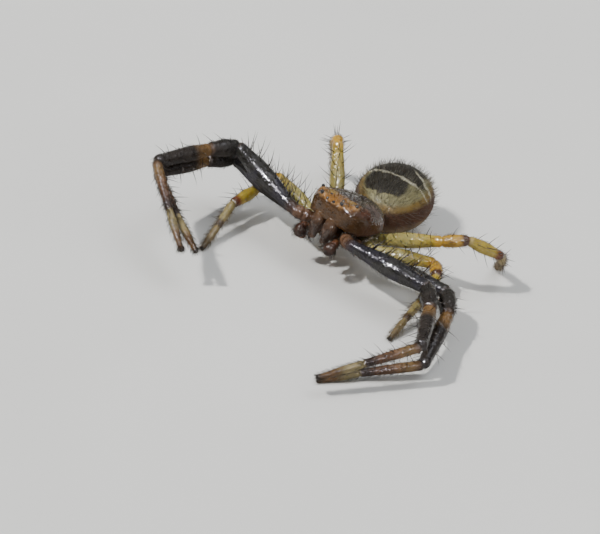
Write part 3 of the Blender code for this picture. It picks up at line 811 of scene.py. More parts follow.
def carapace_relief(u, v):
    """Mounds of the side eyes up, and the grooves down, on both halves alike."""
    x, y = carapace_outline(u, v)
    height = np.zeros_like(u)
    for name in ("front_side", "rear_side"):
        eye_x, eye_y = carapace_outline(*EYES[name][:2])
        for sign in (-1, 1):
            away = np.hypot(x - eye_x * sign, y - eye_y)
            height += TUBERCLE_HEIGHT * np.exp(-((away / TUBERCLE_SPREAD) ** 2))
    for start, end, width, depth in GROOVES:
        height -= depth * groove(np.abs(u), v, start, end, width)
    return height


print("a rear side eye's mound, mm:", float(carapace_relief(*EYES["rear_side"][:2]).round(3)))

# %% [markdown]
# ## The carapace as one shell
#
# The real shield is a thin domed plate, with soft skin from its edge down to the legs. Here
# rings of shares run from the crown out to the rim and back in under it, so that it is closed,
# and they lie closer together at the rim, where the surface turns over. Each eye gets a ring of
# attribute values for its paler cuticle.

# %% Carapace surface
CROWN_RINGS = 84
CROWN_COLUMNS = 168
UNDERSIDE_STEP = 6  # one ring below for every six above
PALE_RINGS = {"side": (1.0, 0.120), "middle": (0.55, 0.062)}  # strength, and reach in mm


def carapace_rim(v):
    """The rim's height, which rises by a smooth step towards the face."""
    return FACE_LIFT * smooth_step((-v - 0.45) / 0.5)


def carapace_top(u, v):
    """z = rim + crown (1 - reach^p)^(1/p) + relief, with p larger, so blunter, at the face."""
    x, y = carapace_outline(u, v)
    reach = np.clip(np.hypot(u, v), 0, 1)
    rim = carapace_rim(v)
    crown = CARAPACE_HEIGHT - HEAD_RISE * v - rim
    power = 3.0 - 3.6 * np.minimum(0, v)
    dome = rim + crown * (1 - reach**power) ** (1 / power)
    fade = 1 - smooth_step((reach - 0.93) / 0.07)
    return np.stack([x, y, dome + carapace_relief(u, v) * fade], -1)


def carapace_normal(u, v, step=0.01):
    """The upper surface's normal from central differences."""
    across = carapace_top(u + step, v) - carapace_top(u - step, v)
    along = carapace_top(u, v + step) - carapace_top(u, v - step)
    return unit(np.cross(across, along))


def carapace_grid():
    """Points and shares of rings from the crown to the rim and back, and which rings are above."""
    out = np.sin(np.linspace(0.012, np.pi / 2, CROWN_RINGS))
    reach = np.concatenate([out, out[::-1][3::UNDERSIDE_STEP]])
    upper = (np.arange(len(reach)) < len(out))[:, None]
    a = round_angles(CROWN_COLUMNS)[::-1]
    u, v = reach[:, None] * np.cos(a), reach[:, None] * np.sin(a)
    x, y = carapace_outline(u, v)
    under = carapace_rim(v) - CARAPACE_DEPTH * (1 - np.clip(np.hypot(u, v), 0, 1) ** 4) ** 0.25
    grid = np.where(upper[..., None], carapace_top(u, v), np.stack([x, y, under], -1))
    return grid, u, v, upper


grid, u, v, upper = carapace_grid()
eye_ring = np.zeros_like(u)
for name, (eye_u, eye_v, radius) in EYES.items():
    pale, reach = PALE_RINGS[name.split("_")[1]]
    for sign in (-1, 1):
        away = np.linalg.norm(grid - carapace_top(eye_u * sign, eye_v), axis=-1)
        eye_ring = np.maximum(eye_ring, pale * np.exp(-((away / reach) ** 4)))
plan = np.stack([u, v, np.zeros_like(u)], -1)
shell = tube_piece("carapace_shell", grid, {"plan": plan, "eye_ring": eye_ring * upper})
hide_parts("carapace")
print("carapace:", len(shell.data.polygons), "faces, crown at", round(float(grid[..., 2].max()), 3), "mm")

# %% [markdown]
# ## Eyes
#
# Eight simple eyes sit in two curved rows, the side ones larger and on low mounds. Each is a
# clear bead over a dark cup. A lens over a cup would show nothing more at this size, so a plain
# smooth ball with a very glossy black surface serves.

# %% Beads
EYE_RISE = 0.25  # of the radius, above the carapace


def globe(rows, columns):
    """Unit directions (cos f cos g, cos f sin g, sin f) over latitude f and longitude g."""
    f = np.linspace(-np.pi / 2, np.pi / 2, rows + 2)[1:-1, None]
    g = round_angles(columns)
    return np.stack([np.cos(f) * np.cos(g), np.cos(f) * np.sin(g), np.sin(f) + 0 * g], -1)


beads = []
for name, (eye_u, eye_v, radius) in EYES.items():
    for side, sign in SIDES.items():
        spot = (eye_u * sign, eye_v)
        centre = carapace_top(*spot) + carapace_normal(*spot) * radius * EYE_RISE
        beads.append(tube_piece(f"bead_{name}_{side}", globe(22, 32) * radius + centre))
        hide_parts(f"eye_{name}_{side}")
print("eyes:", len(beads))

# %% [markdown]
# ## Rods
#
# The jaws, the waist and the spinnerets are straight and rounded off at their ends. A cone or a
# cylinder from the menu would have flat ends, so a rod is made as a tube whose last rings draw
# in along a quarter circle.

# %% Rods with round ends
ROUNDING = np.radians([20, 40, 58, 74, 84])


def rod_grid(start, end, radius, rows, columns, reach, head=0.0):
    """A straight tube from start to end with radius(share), with a round end and a round head.

    The end's rings lie at reach sin(a) past it with radius r cos(a), and the head's likewise.
    """
    way = unit(end - start)
    side = unit(np.cross(way, [0.0, 1.0, 0.01]))
    share = np.linspace(0, 1, rows)
    length = np.linalg.norm(end - start)
    rise, shrink = np.sin(ROUNDING), np.cos(ROUNDING)
    along = np.concatenate([-head * rise[::-1], share * length, length + reach * rise])
    radii = np.concatenate([radius(share[:1]) * shrink[::-1], radius(share), radius(share[-1:]) * shrink])
    return rings_about(start + along[:, None] * way, side, np.cross(way, side), radii, columns)


print("rings of a rod's round end:", len(ROUNDING))

# %% [markdown]
# ## Jaws and fangs
#
# Under the blunt face hang two stout chelicerae, each with a short fang folded across its end.
# A chelicera swells near its top, so its radius varies along the rod, and it keeps the share of
# its length as an attribute for its colours. A fang is again a thorn, bent by a right angle.

# %% Chelicerae and fangs
CHELICERA_TOP = (0.205, -0.84, 0.16)
CHELICERA_TIP = (0.200, -1.01, -0.46)
CHELICERA_RADII = np.array([(0.172, 0.190, 0.105, 0.40)])
SHORT_OF_ONE = 0.9999  # scales a share so that its whole part stays 0, the only segment's number


def jaw_radius(share):
    """The chelicera's radius at shares of its length."""
    return swelling(CHELICERA_RADII, share * SHORT_OF_ONE)


def fang_coat():
    """Two fangs that leave the jaws' ends downwards and bend inwards."""
    signs = np.array([[-1, 1, 1], [1, 1, 1]])
    up = unit(np.array([0.10, -0.35, -0.93]) * signs)
    inward = squared(np.array([-0.98, 0.15, -0.05]) * signs, up)
    root = np.array([0.245, -1.02, -0.50]) * signs
    unwrap = np.array([[0.3, 0.5], [0.7, 0.5]])
    return coat_of(root, up, inward, 0.20, 0.036, 0.3, 1.7, 0.1, unwrap, sink=0.03)


jaws = {}
for side, sign in SIDES.items():
    top, tip = mirrored(CHELICERA_TOP, sign), mirrored(CHELICERA_TIP, sign)
    rings = rod_grid(top, tip, jaw_radius, 44, 48, 0.06, 0.045)
    share = np.repeat(np.linspace(0, 1, len(rings))[:, None], rings.shape[1], 1)
    jaws[side] = tube_piece(f"chelicera_{side}_shell", rings, {"share": share})
    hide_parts(f"chelicera_{side}")
fangs = coat_piece("fangs", fang_coat(), 10, 9)
print("chelicerae:", len(jaws["left"].data.polygons), "faces each")

# %% [markdown]
# ## Mouthparts and the plate below
#
# Behind the jaws lie two endites with the lip between them, and behind those the heart-shaped
# sternum between the coxae. They are smooth, shallow lobes that only show from below, so each
# is a ball scaled to its size, and the sternum's is made narrower towards the rear.

# %% Sternum, labium and endites
LOBES = {  # centre and half sizes in mm, and narrowing towards the rear
    "sternum_plate": ((0.0, -0.06, -0.36), (0.50, 0.58, 0.12), 0.12),
    "labium": ((0.0, -0.60, -0.43), (0.10, 0.12, 0.07), 0.0),
    "endite_left": ((0.14, -0.64, -0.40), (0.105, 0.17, 0.09), 0.0),
    "endite_right": ((-0.14, -0.64, -0.40), (0.105, 0.17, 0.09), 0.0),
}
plates = {}
for name, (centre, semi, narrowing) in LOBES.items():
    lobe = globe(40, 56)
    lobe[..., 0] *= 1 - narrowing * lobe[..., 1]
    plates[name] = tube_piece(name, lobe * semi + centre)
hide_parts("sternum")
print("plates:", ", ".join(plates))

# %% [markdown]
# ## Palps
#
# An adult male carries his palps before the face like small clubs: three short segments, then a
# swollen, hairy hood over the coiled bulb. The club is one tube along a bent path, whose radius
# dips between the segments, with a second, glossy knob tucked under its end. The coils are too
# fine to see at this size and are left out.

# %% Clubs
PALP_CORNERS = ((0.25, -0.62, -0.38), (0.48, -0.87, -0.37), (0.57, -1.06, -0.35), (0.46, -1.12, -0.59))
PALP_BENDS = np.array([0.12, 0.12])  # mm
PALP_RADII = np.array([(0.085, 0.095, 0.100, 0.20)])
PALP_BULB_RADIUS = 0.165
PALP_JOINTS = (0.30, 0.52, 0.66)  # shares of its length
PALP_TIP = np.radians([14, 28, 42, 56, 70, 82])
PALP_END = 0.96  # share where the round tip begins
PALP_COLUMNS = 36
KNOB_SEMI = (0.125, 0.115, 0.135)


def palp_radius(share):
    """r = thin (1 - b) + bulb b with b = exp(-((t - 0.84) / 0.17)^2), less a neck at each joint."""
    b = np.exp(-(((share - 0.84) / 0.17) ** 2))
    r = swelling(PALP_RADII, share * SHORT_OF_ONE) * (1 - b) + PALP_BULB_RADIUS * b
    necks = sum(np.exp(-(((share - joint) / 0.025) ** 2)) for joint in PALP_JOINTS)
    return r * (1 - 0.16 * necks)


def palp_line(sign):
    """Everything along one palp, under the same names as for a leg."""
    places, headings, lengths, _ = bent_path(mirrored(PALP_CORNERS, sign), PALP_BENDS, 0.016)
    share = lengths / lengths[-1]
    keep = share <= PALP_END
    past = headings[-1] * 0.08 * np.sin(PALP_TIP)[:, None]
    heading = np.concatenate([headings[keep], np.repeat(headings[-1:], len(PALP_TIP), 0)])
    back = squared(np.array([0.0, -0.05, 1.0]), heading)
    thick = palp_radius(share[keep])
    shares = np.append(share[keep], np.linspace(0.965, 1, len(PALP_TIP)))
    line = {"place": np.concatenate([places[keep], places[keep][-1] + past]), "heading": heading}
    line.update(back=back, front=np.cross(heading, back) * sign, segment=shares * len(SEGMENTS))
    line.update(radius=np.append(thick, thick[-1] * np.cos(PALP_TIP)), length=shares)
    line["joints"] = np.array([0.0, -9.0, 9.0])  # off the palp, but for the neck near its root
    return line


palp_lines, palps, bulbs = {}, {}, {}
for side, sign in SIDES.items():
    line = palp_lines[side] = palp_line(sign)
    rings = rings_about(line["place"], line["back"], line["front"] * sign, line["radius"], PALP_COLUMNS)
    share = np.repeat(line["length"][:, None], PALP_COLUMNS, 1)
    palps[side] = tube_piece(f"palp_{side}_club", rings, {"share": share})
    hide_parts(f"palp_{side}")
    knob = line["place"][np.searchsorted(line["length"], 0.80)] + mirrored((-0.055, 0.02, 0.0), sign)
    knob = knob - line["back"][-1] * 0.05 + line["heading"][-1] * 0.06
    bulbs[side] = tube_piece(f"palp_{side}_bulb", globe(30, 40) * KNOB_SEMI + knob)
print("palps:", len(palps["left"].data.polygons), "faces each")

# %% [markdown]
# ## Hairs of the palps and jaws
#
# The hood of a palp is bushy, and a row of bristles runs down the face of each jaw with a fringe
# at its end, which helps to hold prey. The palp is described as a leg is, so the legs' coat
# works on it too. The jaws need roots of their own, on their front face only.

# %% Palp and jaw hairs


def palp_hairs(line, count=420):
    """Short dark hairs on a palp, longest on its hood."""
    segment = 6 * draw.uniform(0.12, 0.99, count)
    angle = draw.uniform(-np.pi, np.pi, count)
    length = vary(0.07 + 0.06 * smooth_step(segment - 3.4), 0.4)
    lean = np.radians(draw.uniform(35, 55, count))
    return leg_coat(line, segment, angle, length, 0.0048, lean, 0.3)


def jaw_hairs(sign, count=70):
    """Bristles down the front of a chelicera, and a fringe at its end."""
    top, tip = mirrored(CHELICERA_TOP, sign), mirrored(CHELICERA_TIP, sign)
    share = draw.uniform(0.35, 1.0, count)
    angle = draw.uniform(-1.4, 1.4, count)
    way = unit(tip - top)
    face = squared(np.array([0.0, -1.0, 0.0]), way)
    up = face * np.cos(angle)[:, None] + np.cross(way, face) * np.sin(angle)[:, None]
    root = top + (tip - top) * share[:, None] + up * jaw_radius(share)[:, None]
    lean = np.radians(draw.uniform(40, 60, count))
    length = vary(0.06 + 0.08 * share, 0.35)
    unwrap = np.stack([angle / (2 * np.pi) + 0.5, share], -1)
    ahead = np.repeat(way[None], count, 0)
    return coat_of(root, up, ahead, length, 0.0052, lean, 0.35, draw.random(count), unwrap)


face_hairs = []
for side, sign in SIDES.items():
    face_hairs.append(coat_piece(f"palp_{side}_hairs", palp_hairs(palp_lines[side])))
    face_hairs.append(coat_piece(f"chelicera_{side}_hairs", jaw_hairs(sign)))
print("hair pieces at the face:", len(face_hairs))

# %% [markdown]
# ## The abdomen and the waist
#
# The male's small abdomen is egg-shaped, soft and a little wrinkled at the sides, with three
# pairs of dimples where muscles pull from inside. It is an ellipsoid whose radius a few formulas
# change, so the same function gives the skin and the roots of its hairs. The waist, a thin
# stalk, joins it to the carapace.

# %% Egg and waist
PEDICEL = ((0.0, 0.62, -0.23), (-0.03, 1.14, -0.26))
PEDICEL_RADIUS = 0.105
DIMPLES = ((0.23, -0.45), (0.30, -0.02), (0.34, 0.34))
DIMPLE_DEPTH = 0.016  # of the egg's size
DIMPLE_WIDTH = 0.055
WRINKLE_DEPTH = 0.004


def egg(directions):
    """(x, y, z) on the abdomen for unit directions: an ellipsoid, fuller behind, with dimples."""
    x, y, z = directions[..., 0], directions[..., 1], directions[..., 2]
    size = 1 + WRINKLE_DEPTH * np.sin(26 * y + 3 * np.sin(4 * x)) * smooth_step((0.55 - z) / 0.5)
    for dimple_x, dimple_y in DIMPLES:
        away = np.hypot(np.abs(x) - dimple_x, y - dimple_y)
        size -= DIMPLE_DEPTH * np.exp(-((away / DIMPLE_WIDTH) ** 2)) * (z > 0)
    scale = np.stack([1 + 0.07 * y, np.ones_like(y), 1 + 0.05 * y], -1) * ABDOMEN_SEMI
    return directions * scale * size[..., None]


def waist_radius(share):
    """The waist's radius, thinnest half way along."""
    return PEDICEL_RADIUS * (1 - 0.12 * np.sin(np.pi * share))


directions = globe(150, 200)[..., [0, 2, 1]] * (1, 1, -1)  # poles at the front and rear ends
abdomen = tube_piece("abdomen_skin", abdomen_to_body(egg(directions)), {"plan": directions})
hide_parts("abdomen")
waist = tube_piece("waist", rod_grid(*np.array(PEDICEL), waist_radius, 20, 28, 0.02))
print("abdomen:", len(abdomen.data.polygons), "faces")

# %% [markdown]
# ## Spinnerets
#
# The silk comes from three small cones at the hind end. They point back and down, and taper by
# a power of their length, so that they look like fingers and not like needles. Only their
# outline can be seen, so the spigots on them are left out.

# %% Spinnerets
SPINNERS = ((-1, 0.0, 1.0), (1, 0.0, 1.0), (0, -0.07, 0.8))  # side, place along the egg, size


def cone_radius(share):
    """0.055 - 0.024 t^1.6, in mm."""
    return 0.055 - 0.024 * share**1.6


spinners = []
for index, (aside, behind, size) in enumerate(SPINNERS):
    root = np.array([0.055 * aside, 0.97 + behind, -0.36])
    tip = root + np.array([0.02 * aside, 0.17, -0.13]) * size
    rings = rod_grid(root, tip, lambda share: size * cone_radius(share), 16, 20, 0.02)
    spinners.append(tube_piece(f"spinneret_{index}", abdomen_to_body(rings)))
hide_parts("spinnerets")
print("spinnerets:", len(spinners))

# %% [markdown]
# ## The abdomen's coats
#
# Short down lies backwards over the egg, and longer hairs stand out all round its rim. Both have
# roots at random directions, thinned out below. Each hair keeps its direction as an attribute,
# so that it can take the colour of the mark it grows from.

# %% Abdomen hairs
EGG_COATS = {  # count, length, radius, lean and spread in degrees, density below, rings
    "abdomen_down": (1900, 0.080, 0.0030, 62, 14, 0.35, 2),
    "abdomen_hairs": (1050, 0.215, 0.0050, 30, 16, 0.12, 3),
}


def egg_roots(count, density_below):
    """Random directions, most of them on the upper side, with normals and rearward lie."""
    z = draw.uniform(-0.85, 1, count * 3)
    g = draw.uniform(0, 2 * np.pi, count * 3)
    way = np.stack([np.sqrt(1 - z**2) * np.cos(g), np.sqrt(1 - z**2) * np.sin(g), z], -1)
    chance = density_below + (1 - density_below) * smooth_step((z + 0.4) / 1.1)
    way = way[(draw.random(len(way)) < chance) & (way[:, 1] > -0.93)][:count]
    normal = unit(way / ABDOMEN_SEMI)
    rearward = np.array([0.0, 1.0, 0.0]) + 0.35 * draw.normal(size=way.shape)
    return way, normal, squared(rearward, normal)


def egg_coat(count, length, radius, lean, spread, density_below):
    """A coat on the abdomen whose hairs lean back, each by its own angle within the spread."""
    way, normal, rearward = egg_roots(count, density_below)
    lean = np.radians(lean + draw.uniform(-spread, spread, len(way)))
    up, ahead = normal @ ABDOMEN_TURN.T, rearward @ ABDOMEN_TURN.T
    length = vary(np.full(len(way), length), 0.35)
    unwrap = np.stack([np.arctan2(way[:, 0], way[:, 2]) / (2 * np.pi) + 0.5, way[:, 1] / 2 + 0.5], -1)
    tone, root = draw.random(len(way)), abdomen_to_body(egg(way))
    return coat_of(root, up, ahead, length, radius, lean, 0.4, tone, unwrap, plan=way)


egg_coats = []
for name, (*sizes, rings) in EGG_COATS.items():
    coat = egg_coat(*sizes)
    egg_coats.append(coat_piece(name, coat, 3, rings))
    print(name + ":", len(coat["root"]), "hairs")

# %% [markdown]
# ## The head's bristles
#
# The head carries long bristles between and behind the eyes, the same on both sides, and short
# down elsewhere. The long ones are placed one by one because their pattern is seen against the
# light, and the down is drawn at random.

# %% Carapace bristles
HEAD_BRISTLES = (  # place in shares of width and length, and length in mm
    (0.0, -0.80, 0.22), (0.10, -0.55, 0.26), (0.30, -0.50, 0.24), (0.46, -0.72, 0.24), (0.22, -0.28, 0.24),
    (0.45, -0.20, 0.22), (0.14, 0.02, 0.20), (0.70, -0.35, 0.20), (0.24, -0.97, 0.20), (0.06, -0.985, 0.18),
    (0.42, -0.88, 0.20), (0.62, -0.70, 0.20), (0.80, -0.10, 0.16), (0.66, 0.25, 0.16), (0.34, 0.30, 0.18),
)
LONG = 0.12  # mm from which a bristle counts as long, so thicker and more upright


def head_coat():
    """Both sides' long bristles, and short down over the rest of the carapace."""
    rows = np.array([(u * sign, v, length) for u, v, length in HEAD_BRISTLES for sign in (-1, 1)])
    small = draw.uniform(-1, 1, (700, 2))
    small = small[np.hypot(small[:, 0], small[:, 1]) < 0.95]
    u, v = np.concatenate([rows[:, :2], small]).T
    length = np.append(rows[:, 2], vary(np.full(len(small), 0.055), 0.4))
    up = carapace_normal(u, v)
    ahead = squared(np.array([0.0, -1.0, 0.25]), up)
    lean = np.where(length > LONG, 0.35, 0.9) + draw.uniform(-0.15, 0.15, len(u))
    radius = np.where(length > LONG, 0.0075, 0.0038)
    unwrap = np.stack([u, v], -1) / 2 + 0.5
    return coat_of(carapace_top(u, v), up, ahead, length, radius, lean, 0.45, draw.random(len(u)), unwrap)


head_bristles = coat_piece("carapace_bristles", head_coat(), 3, 3)
print("long bristles on the head:", 2 * len(HEAD_BRISTLES))

# %% [markdown]
# ## Shader nodes in few words
#
# The finishes are node trees, and written out in full they would be long. A few helpers keep
# them readable: one makes a node and feeds its sockets, the others return one output each. An
# input may be a number, a colour or another node's output.

# %% Node helpers


def feed(tree, socket, value):
    """Link an output to a socket, or set the socket to a number, a colour or a vector."""
    if isinstance(value, bpy.types.NodeSocket):
        tree.links.new(value, socket)
    elif value is not None:
        socket.default_value = (*value, 1.0) if socket.type == "RGBA" else value


def add_node(tree, kind, inputs=None, **settings):
    """A shader node with its settings, its sockets fed by name or by number."""
    node = tree.nodes.new("ShaderNode" + kind)
    for label, value in settings.items():
        setattr(node, label, value)
    for socket, value in (inputs or {}).items():
        feed(tree, node.inputs[socket], value)
    return node


def maths(tree, operation, first, second=None, third=None, clamp=False):
    """A Math node's output, fed by sockets or numbers."""
    inputs = {0: first, 1: second, 2: third}
    return add_node(tree, "Math", inputs, operation=operation, use_clamp=clamp).outputs[0]


def times(tree, first, second):
    """first x second."""
    return maths(tree, "MULTIPLY", first, second)


def plus_times(tree, value, factor, start):
    """start + factor x value."""
    return maths(tree, "MULTIPLY_ADD", value, factor, start)


def ease(tree, value, low, high):
    """A smooth 0 to 1 step of a value between two numbers."""
    inputs = {"Value": value, "From Min": low, "From Max": high}
    return add_node(tree, "MapRange", inputs, interpolation_type="SMOOTHSTEP").outputs["Result"]


def paint(tree, colour, *layers):
    """A colour with layers of (mask, colour) mixed over it in turn."""
    for mask, over in layers:
        colour = add_node(tree, "Mix", {0: mask, 6: colour, 7: over}, data_type="RGBA").outputs[2]
    return colour


bench = bpy.data.node_groups.new("bench", "ShaderNodeTree")
ease(bench, times(bench, 0.5, 0.5), 0.0, 1.0)
print("nodes that two short calls make:", len(bench.nodes))
bpy.data.node_groups.remove(bench)

# %% [markdown]
# ## Textures and groups
#
# Skin is never even, so most finishes need noise and scattered spots. Both could be painted, but
# a texture that is worked out at each point has no seams. A pattern that several finishes use
# becomes a group with named sockets, so that it is kept in one place.

# %% Textures and groups


def axes_of(tree, vector):
    """The X, Y and Z of a vector."""
    return add_node(tree, "SeparateXYZ", {0: vector}).outputs


def noise(tree, vector, scale, detail, roughness=0.55):
    """A noise texture's value at a scale in marks per unit of the vector."""
    inputs = {"Vector": vector, "Scale": scale, "Detail": detail, "Roughness": roughness}
    return add_node(tree, "TexNoise", inputs).outputs["Fac"]


def cell_distance(tree, vector, scale):
    """The distance to the nearest of scattered points, at a scale in marks per unit."""
    return add_node(tree, "TexVoronoi", {"Vector": vector, "Scale": scale}, feature="F1").outputs["Distance"]


def millimetres(tree):
    """Object coordinates scaled to millimetres."""
    place = add_node(tree, "TexCoord").outputs["Object"]
    return add_node(tree, "Mapping", {"Vector": place, "Scale": (1000, 1000, 1000)}).outputs["Vector"]


def new_group(name, inputs, outputs):
    """An empty shader group with named sockets, its input sockets and its output node."""
    group = bpy.data.node_groups.new(name, "ShaderNodeTree")
    for label, kind in inputs.items():
        group.interface.new_socket(name=label, in_out="INPUT", socket_type="NodeSocket" + kind)
    for label, kind in outputs.items():
        group.interface.new_socket(name=label, in_out="OUTPUT", socket_type="NodeSocket" + kind)
    return group, group.nodes.new("NodeGroupInput").outputs, group.nodes.new("NodeGroupOutput")


print("marks at a scale of 15 lie about", round(1 / 15, 3), "mm apart")

# %% [markdown]
# ## Cuticle grain
#
# Spider cuticle is glossy but finely pitted, which breaks a glint into strings of sparks, and it
# is mottled where pigment shows through. Modelled pits would need millions of faces, so one
# group gives them as a height for a bump, with the mottle as a value. It works in millimetres,
# so its scales are in marks per millimetre.

# %% Grain group
FINE_SCALE = 36
FINE_SHARE = 0.12
MOTTLE_SCALE = 3.2

tree, given, out = new_group(
    "cuticle_grain", {"Pit Scale": "Float", "Pit Depth": "Float"}, {"Height": "Float", "Mottle": "Float"}
)
position = millimetres(tree)
pit = ease(tree, cell_distance(tree, position, given["Pit Scale"]), 0.55, 0.05)
bumps = times(tree, pit, given["Pit Depth"])
fine = noise(tree, position, FINE_SCALE, 2)
feed(tree, out.inputs["Height"], plus_times(tree, fine, FINE_SHARE, bumps))
feed(tree, out.inputs["Mottle"], noise(tree, position, MOTTLE_SCALE, 4))
cuticle_grain = tree
print("shader group:", cuticle_grain.name)

# %% [markdown]
# ## The abdomen's markings: where they lie
#
# Two dark fields cover the abdomen's back, crossed by thin pale arcs. Formulas on the direction
# from the egg's centre draw them, which the skin and every hair carry, so both agree. Painted
# marks would need an unwrap and would blur. The dark fields' half width is a curve along the
# back, and a little noise makes their edges wander.

# %% Dark fields
MARKS_ASIDE = 0.18  # the markings lie this far towards the right, as shares of the height
MARK_WIDTHS = (  # place from front (-1) to rear (1), and half width of the dark fields
    (-0.66, 0.0), (-0.54, 0.42), (-0.40, 0.58), (-0.30, 0.62), (-0.18, 0.61), (-0.04, 0.57), (0.02, 0.60),
    (0.10, 0.82), (0.24, 0.84), (0.38, 0.70), (0.52, 0.62), (0.62, 0.64), (0.82, 0.46), (0.97, 0.14),
)

tree, given, out = new_group("abdomen_marks", {"Direction": "Vector"}, {"Color": "Color"})
direction = given["Direction"]
place = axes_of(tree, direction)
shake = plus_times(tree, noise(tree, direction, 5.5, 2, 0.5), 0.16, -0.08)
x = maths(tree, "ABSOLUTE", plus_times(tree, place["Z"], MARKS_ASIDE, place["X"]))
y = maths(tree, "ADD", place["Y"], shake)
z = plus_times(tree, shake, 0.8, place["Z"])
width = add_node(tree, "FloatCurve", {"Value": plus_times(tree, y, 0.5, 0.5)})
curve = width.mapping.curves[0]
curve.points[0].location = (0.0, 0.0)
curve.points[1].location = (1.0, 0.0)
for along, half in MARK_WIDTHS:
    curve.points.new((along + 1) / 2, half)
width.mapping.update()
inside = maths(tree, "SUBTRACT", width.outputs["Value"], x)
above = ease(tree, place["Z"], 0.0, 0.2)
dark = times(tree, ease(tree, inside, -0.08, 0.07), above)
print("points on the curve of the dark fields:", len(curve.points))

# %% [markdown]
# ## The abdomen's markings: arcs and colours
#
# The pale arcs are guanine that shows through clear skin. Below the marks the flank is olive
# with dark specks, then golden, then red-brown, and the belly is a dull tan. Each colour is a
# layer with its mask, painted in the order in which they hide each other.

# %% Arcs and flanks
BLACK_MARK = (0.022, 0.019, 0.014)
PALE_LINE = (0.50, 0.47, 0.35)
FLANK_OLIVE = (0.190, 0.172, 0.088)
FLANK_GOLD = (0.19, 0.125, 0.038)
FLANK_RED = (0.075, 0.034, 0.019)
BELLY = (0.145, 0.100, 0.060)


def pale_arc(at, slope, bow, thickness, mask):
    """A thin arc across the back at y = at + slope |x| + bow x^2, times a mask."""
    line = plus_times(tree, x, slope, at)
    line = plus_times(tree, times(tree, x, x), bow, line)
    away = maths(tree, "ABSOLUTE", maths(tree, "SUBTRACT", y, line))
    return times(tree, ease(tree, away, thickness, thickness * 0.25), mask)


on_flank = ease(tree, x, 0.22, 0.50)
between = times(tree, ease(tree, x, 0.20, 0.42), ease(tree, x, 0.80, 0.58))
arcs = pale_arc(0.68, -0.46, 0.0, 0.055, on_flank)
for arc in ((0.0, 0.0, 0.08, 0.060, between), (-0.01, 0.0, 0.10, 0.036, 0.6), (0.82, -0.30, 0.0, 0.035, 0.5)):
    arcs = maths(tree, "MAXIMUM", arcs, pale_arc(*arc))
arcs = times(tree, arcs, ease(tree, place["Z"], 0.25, 0.5))
specks = ease(tree, cell_distance(tree, direction, 7.0), 0.22, 0.12)
specks = times(tree, specks, ease(tree, z, 0.4, 0.6))
colour = paint(
    tree,
    BELLY,
    (ease(tree, z, -0.35, 0.0), FLANK_RED),
    (ease(tree, z, 0.32, 0.48), FLANK_GOLD),
    (ease(tree, z, 0.52, 0.64), FLANK_OLIVE),
    (times(tree, specks, 0.6), BLACK_MARK),
    (dark, BLACK_MARK),
    (times(tree, arcs, 0.85), PALE_LINE),
)
feed(tree, out.inputs["Color"], colour)
abdomen_marks = tree
print("shader group:", abdomen_marks.name, "with", len(abdomen_marks.nodes), "nodes")

# %% [markdown]
# ## What all finishes share
#
# Each finish is one Principled shader. Grain goes into it as a bump, for the coat's glints too,
# and thin yellow cuticle lets a little light through, which spreads below the surface. Values
# that vary over a mesh are read from its attributes.

# %% Material helpers
GLOW_REACH = (1.0, 0.6, 0.25)  # of red, green and blue light below the surface, as shares


def new_finish(name, specular=0.3):
    """A material with its tree and its Principled shader."""
    material = bpy.data.materials.new(name)
    material.use_nodes = True
    shader = material.node_tree.nodes["Principled BSDF"]
    shader.inputs["Specular IOR Level"].default_value = specular
    return material, material.node_tree, shader


def attribute(tree, name, output="Fac"):
    """The value, or the Vector, that a mesh carries under a name."""
    return add_node(tree, "Attribute", attribute_name=name).outputs[output]


def add_grain(tree, shader, scale, depth, strength, distance):
    """Cuticle grain as a bump on the shader, its distance in millimetres; returns the mottle."""
    grain = add_node(tree, "Group", node_tree=cuticle_grain)
    feed(tree, grain.inputs["Pit Scale"], scale)
    feed(tree, grain.inputs["Pit Depth"], depth)
    inputs = {"Strength": strength, "Distance": distance * MM, "Height": grain.outputs["Height"]}
    normal = add_node(tree, "Bump", inputs).outputs["Normal"]
    feed(tree, shader.inputs["Normal"], normal)
    feed(tree, shader.inputs["Coat Normal"], normal)
    return grain.outputs["Mottle"]


def glow_through(shader, weight, reach):
    """Light scattered under the surface, its reach in millimetres."""
    shader.inputs["Subsurface Weight"].default_value = weight
    shader.inputs["Subsurface Radius"].default_value = GLOW_REACH
    shader.inputs["Subsurface Scale"].default_value = reach * MM


print("red light spreads", GLOW_REACH[0] / GLOW_REACH[2], "times as far as blue in the cuticle")

# %% [markdown]
# ## Colour and gloss
#
# Pigment varies along a part and is mottled all over, so a ramp of colours is multiplied by the
# mottle. Hard cuticle has a thin clear coat for the sharp glints that make it look wet. On the
# underside a nap of down dulls them. To model it would cost many more hairs, so the roughness
# rises and the coat thins where a face looks down.

# %% Colour and gloss
DOWN_ROUGHNESS = 0.35
DOWN_DULLING = 0.85


def ramp(tree, value, stops, scale=1.0):
    """A colour ramp over value / scale, from (place, colour) stops."""
    node = add_node(tree, "ValToRGB", {"Fac": maths(tree, "DIVIDE", value, scale)})
    elements = node.color_ramp.elements
    for element, (place, colour) in zip(elements, (stops[0], stops[-1])):
        element.position, element.color = place / scale, (*colour, 1)
    for place, colour in stops[1:-1]:
        elements.new(place / scale).color = (*colour, 1)
    return node.outputs["Color"]


def mottled(tree, colour, mottle, dark, light):
    """A colour times a factor that runs from dark to light with the mottle."""
    inputs = {"Value": mottle, "From Min": 0.3, "From Max": 0.7, "To Min": dark, "To Max": light}
    factor = add_node(tree, "MapRange", inputs).outputs["Result"]
    return add_node(tree, "VectorMath", {0: colour, "Scale": factor}, operation="SCALE").outputs["Vector"]


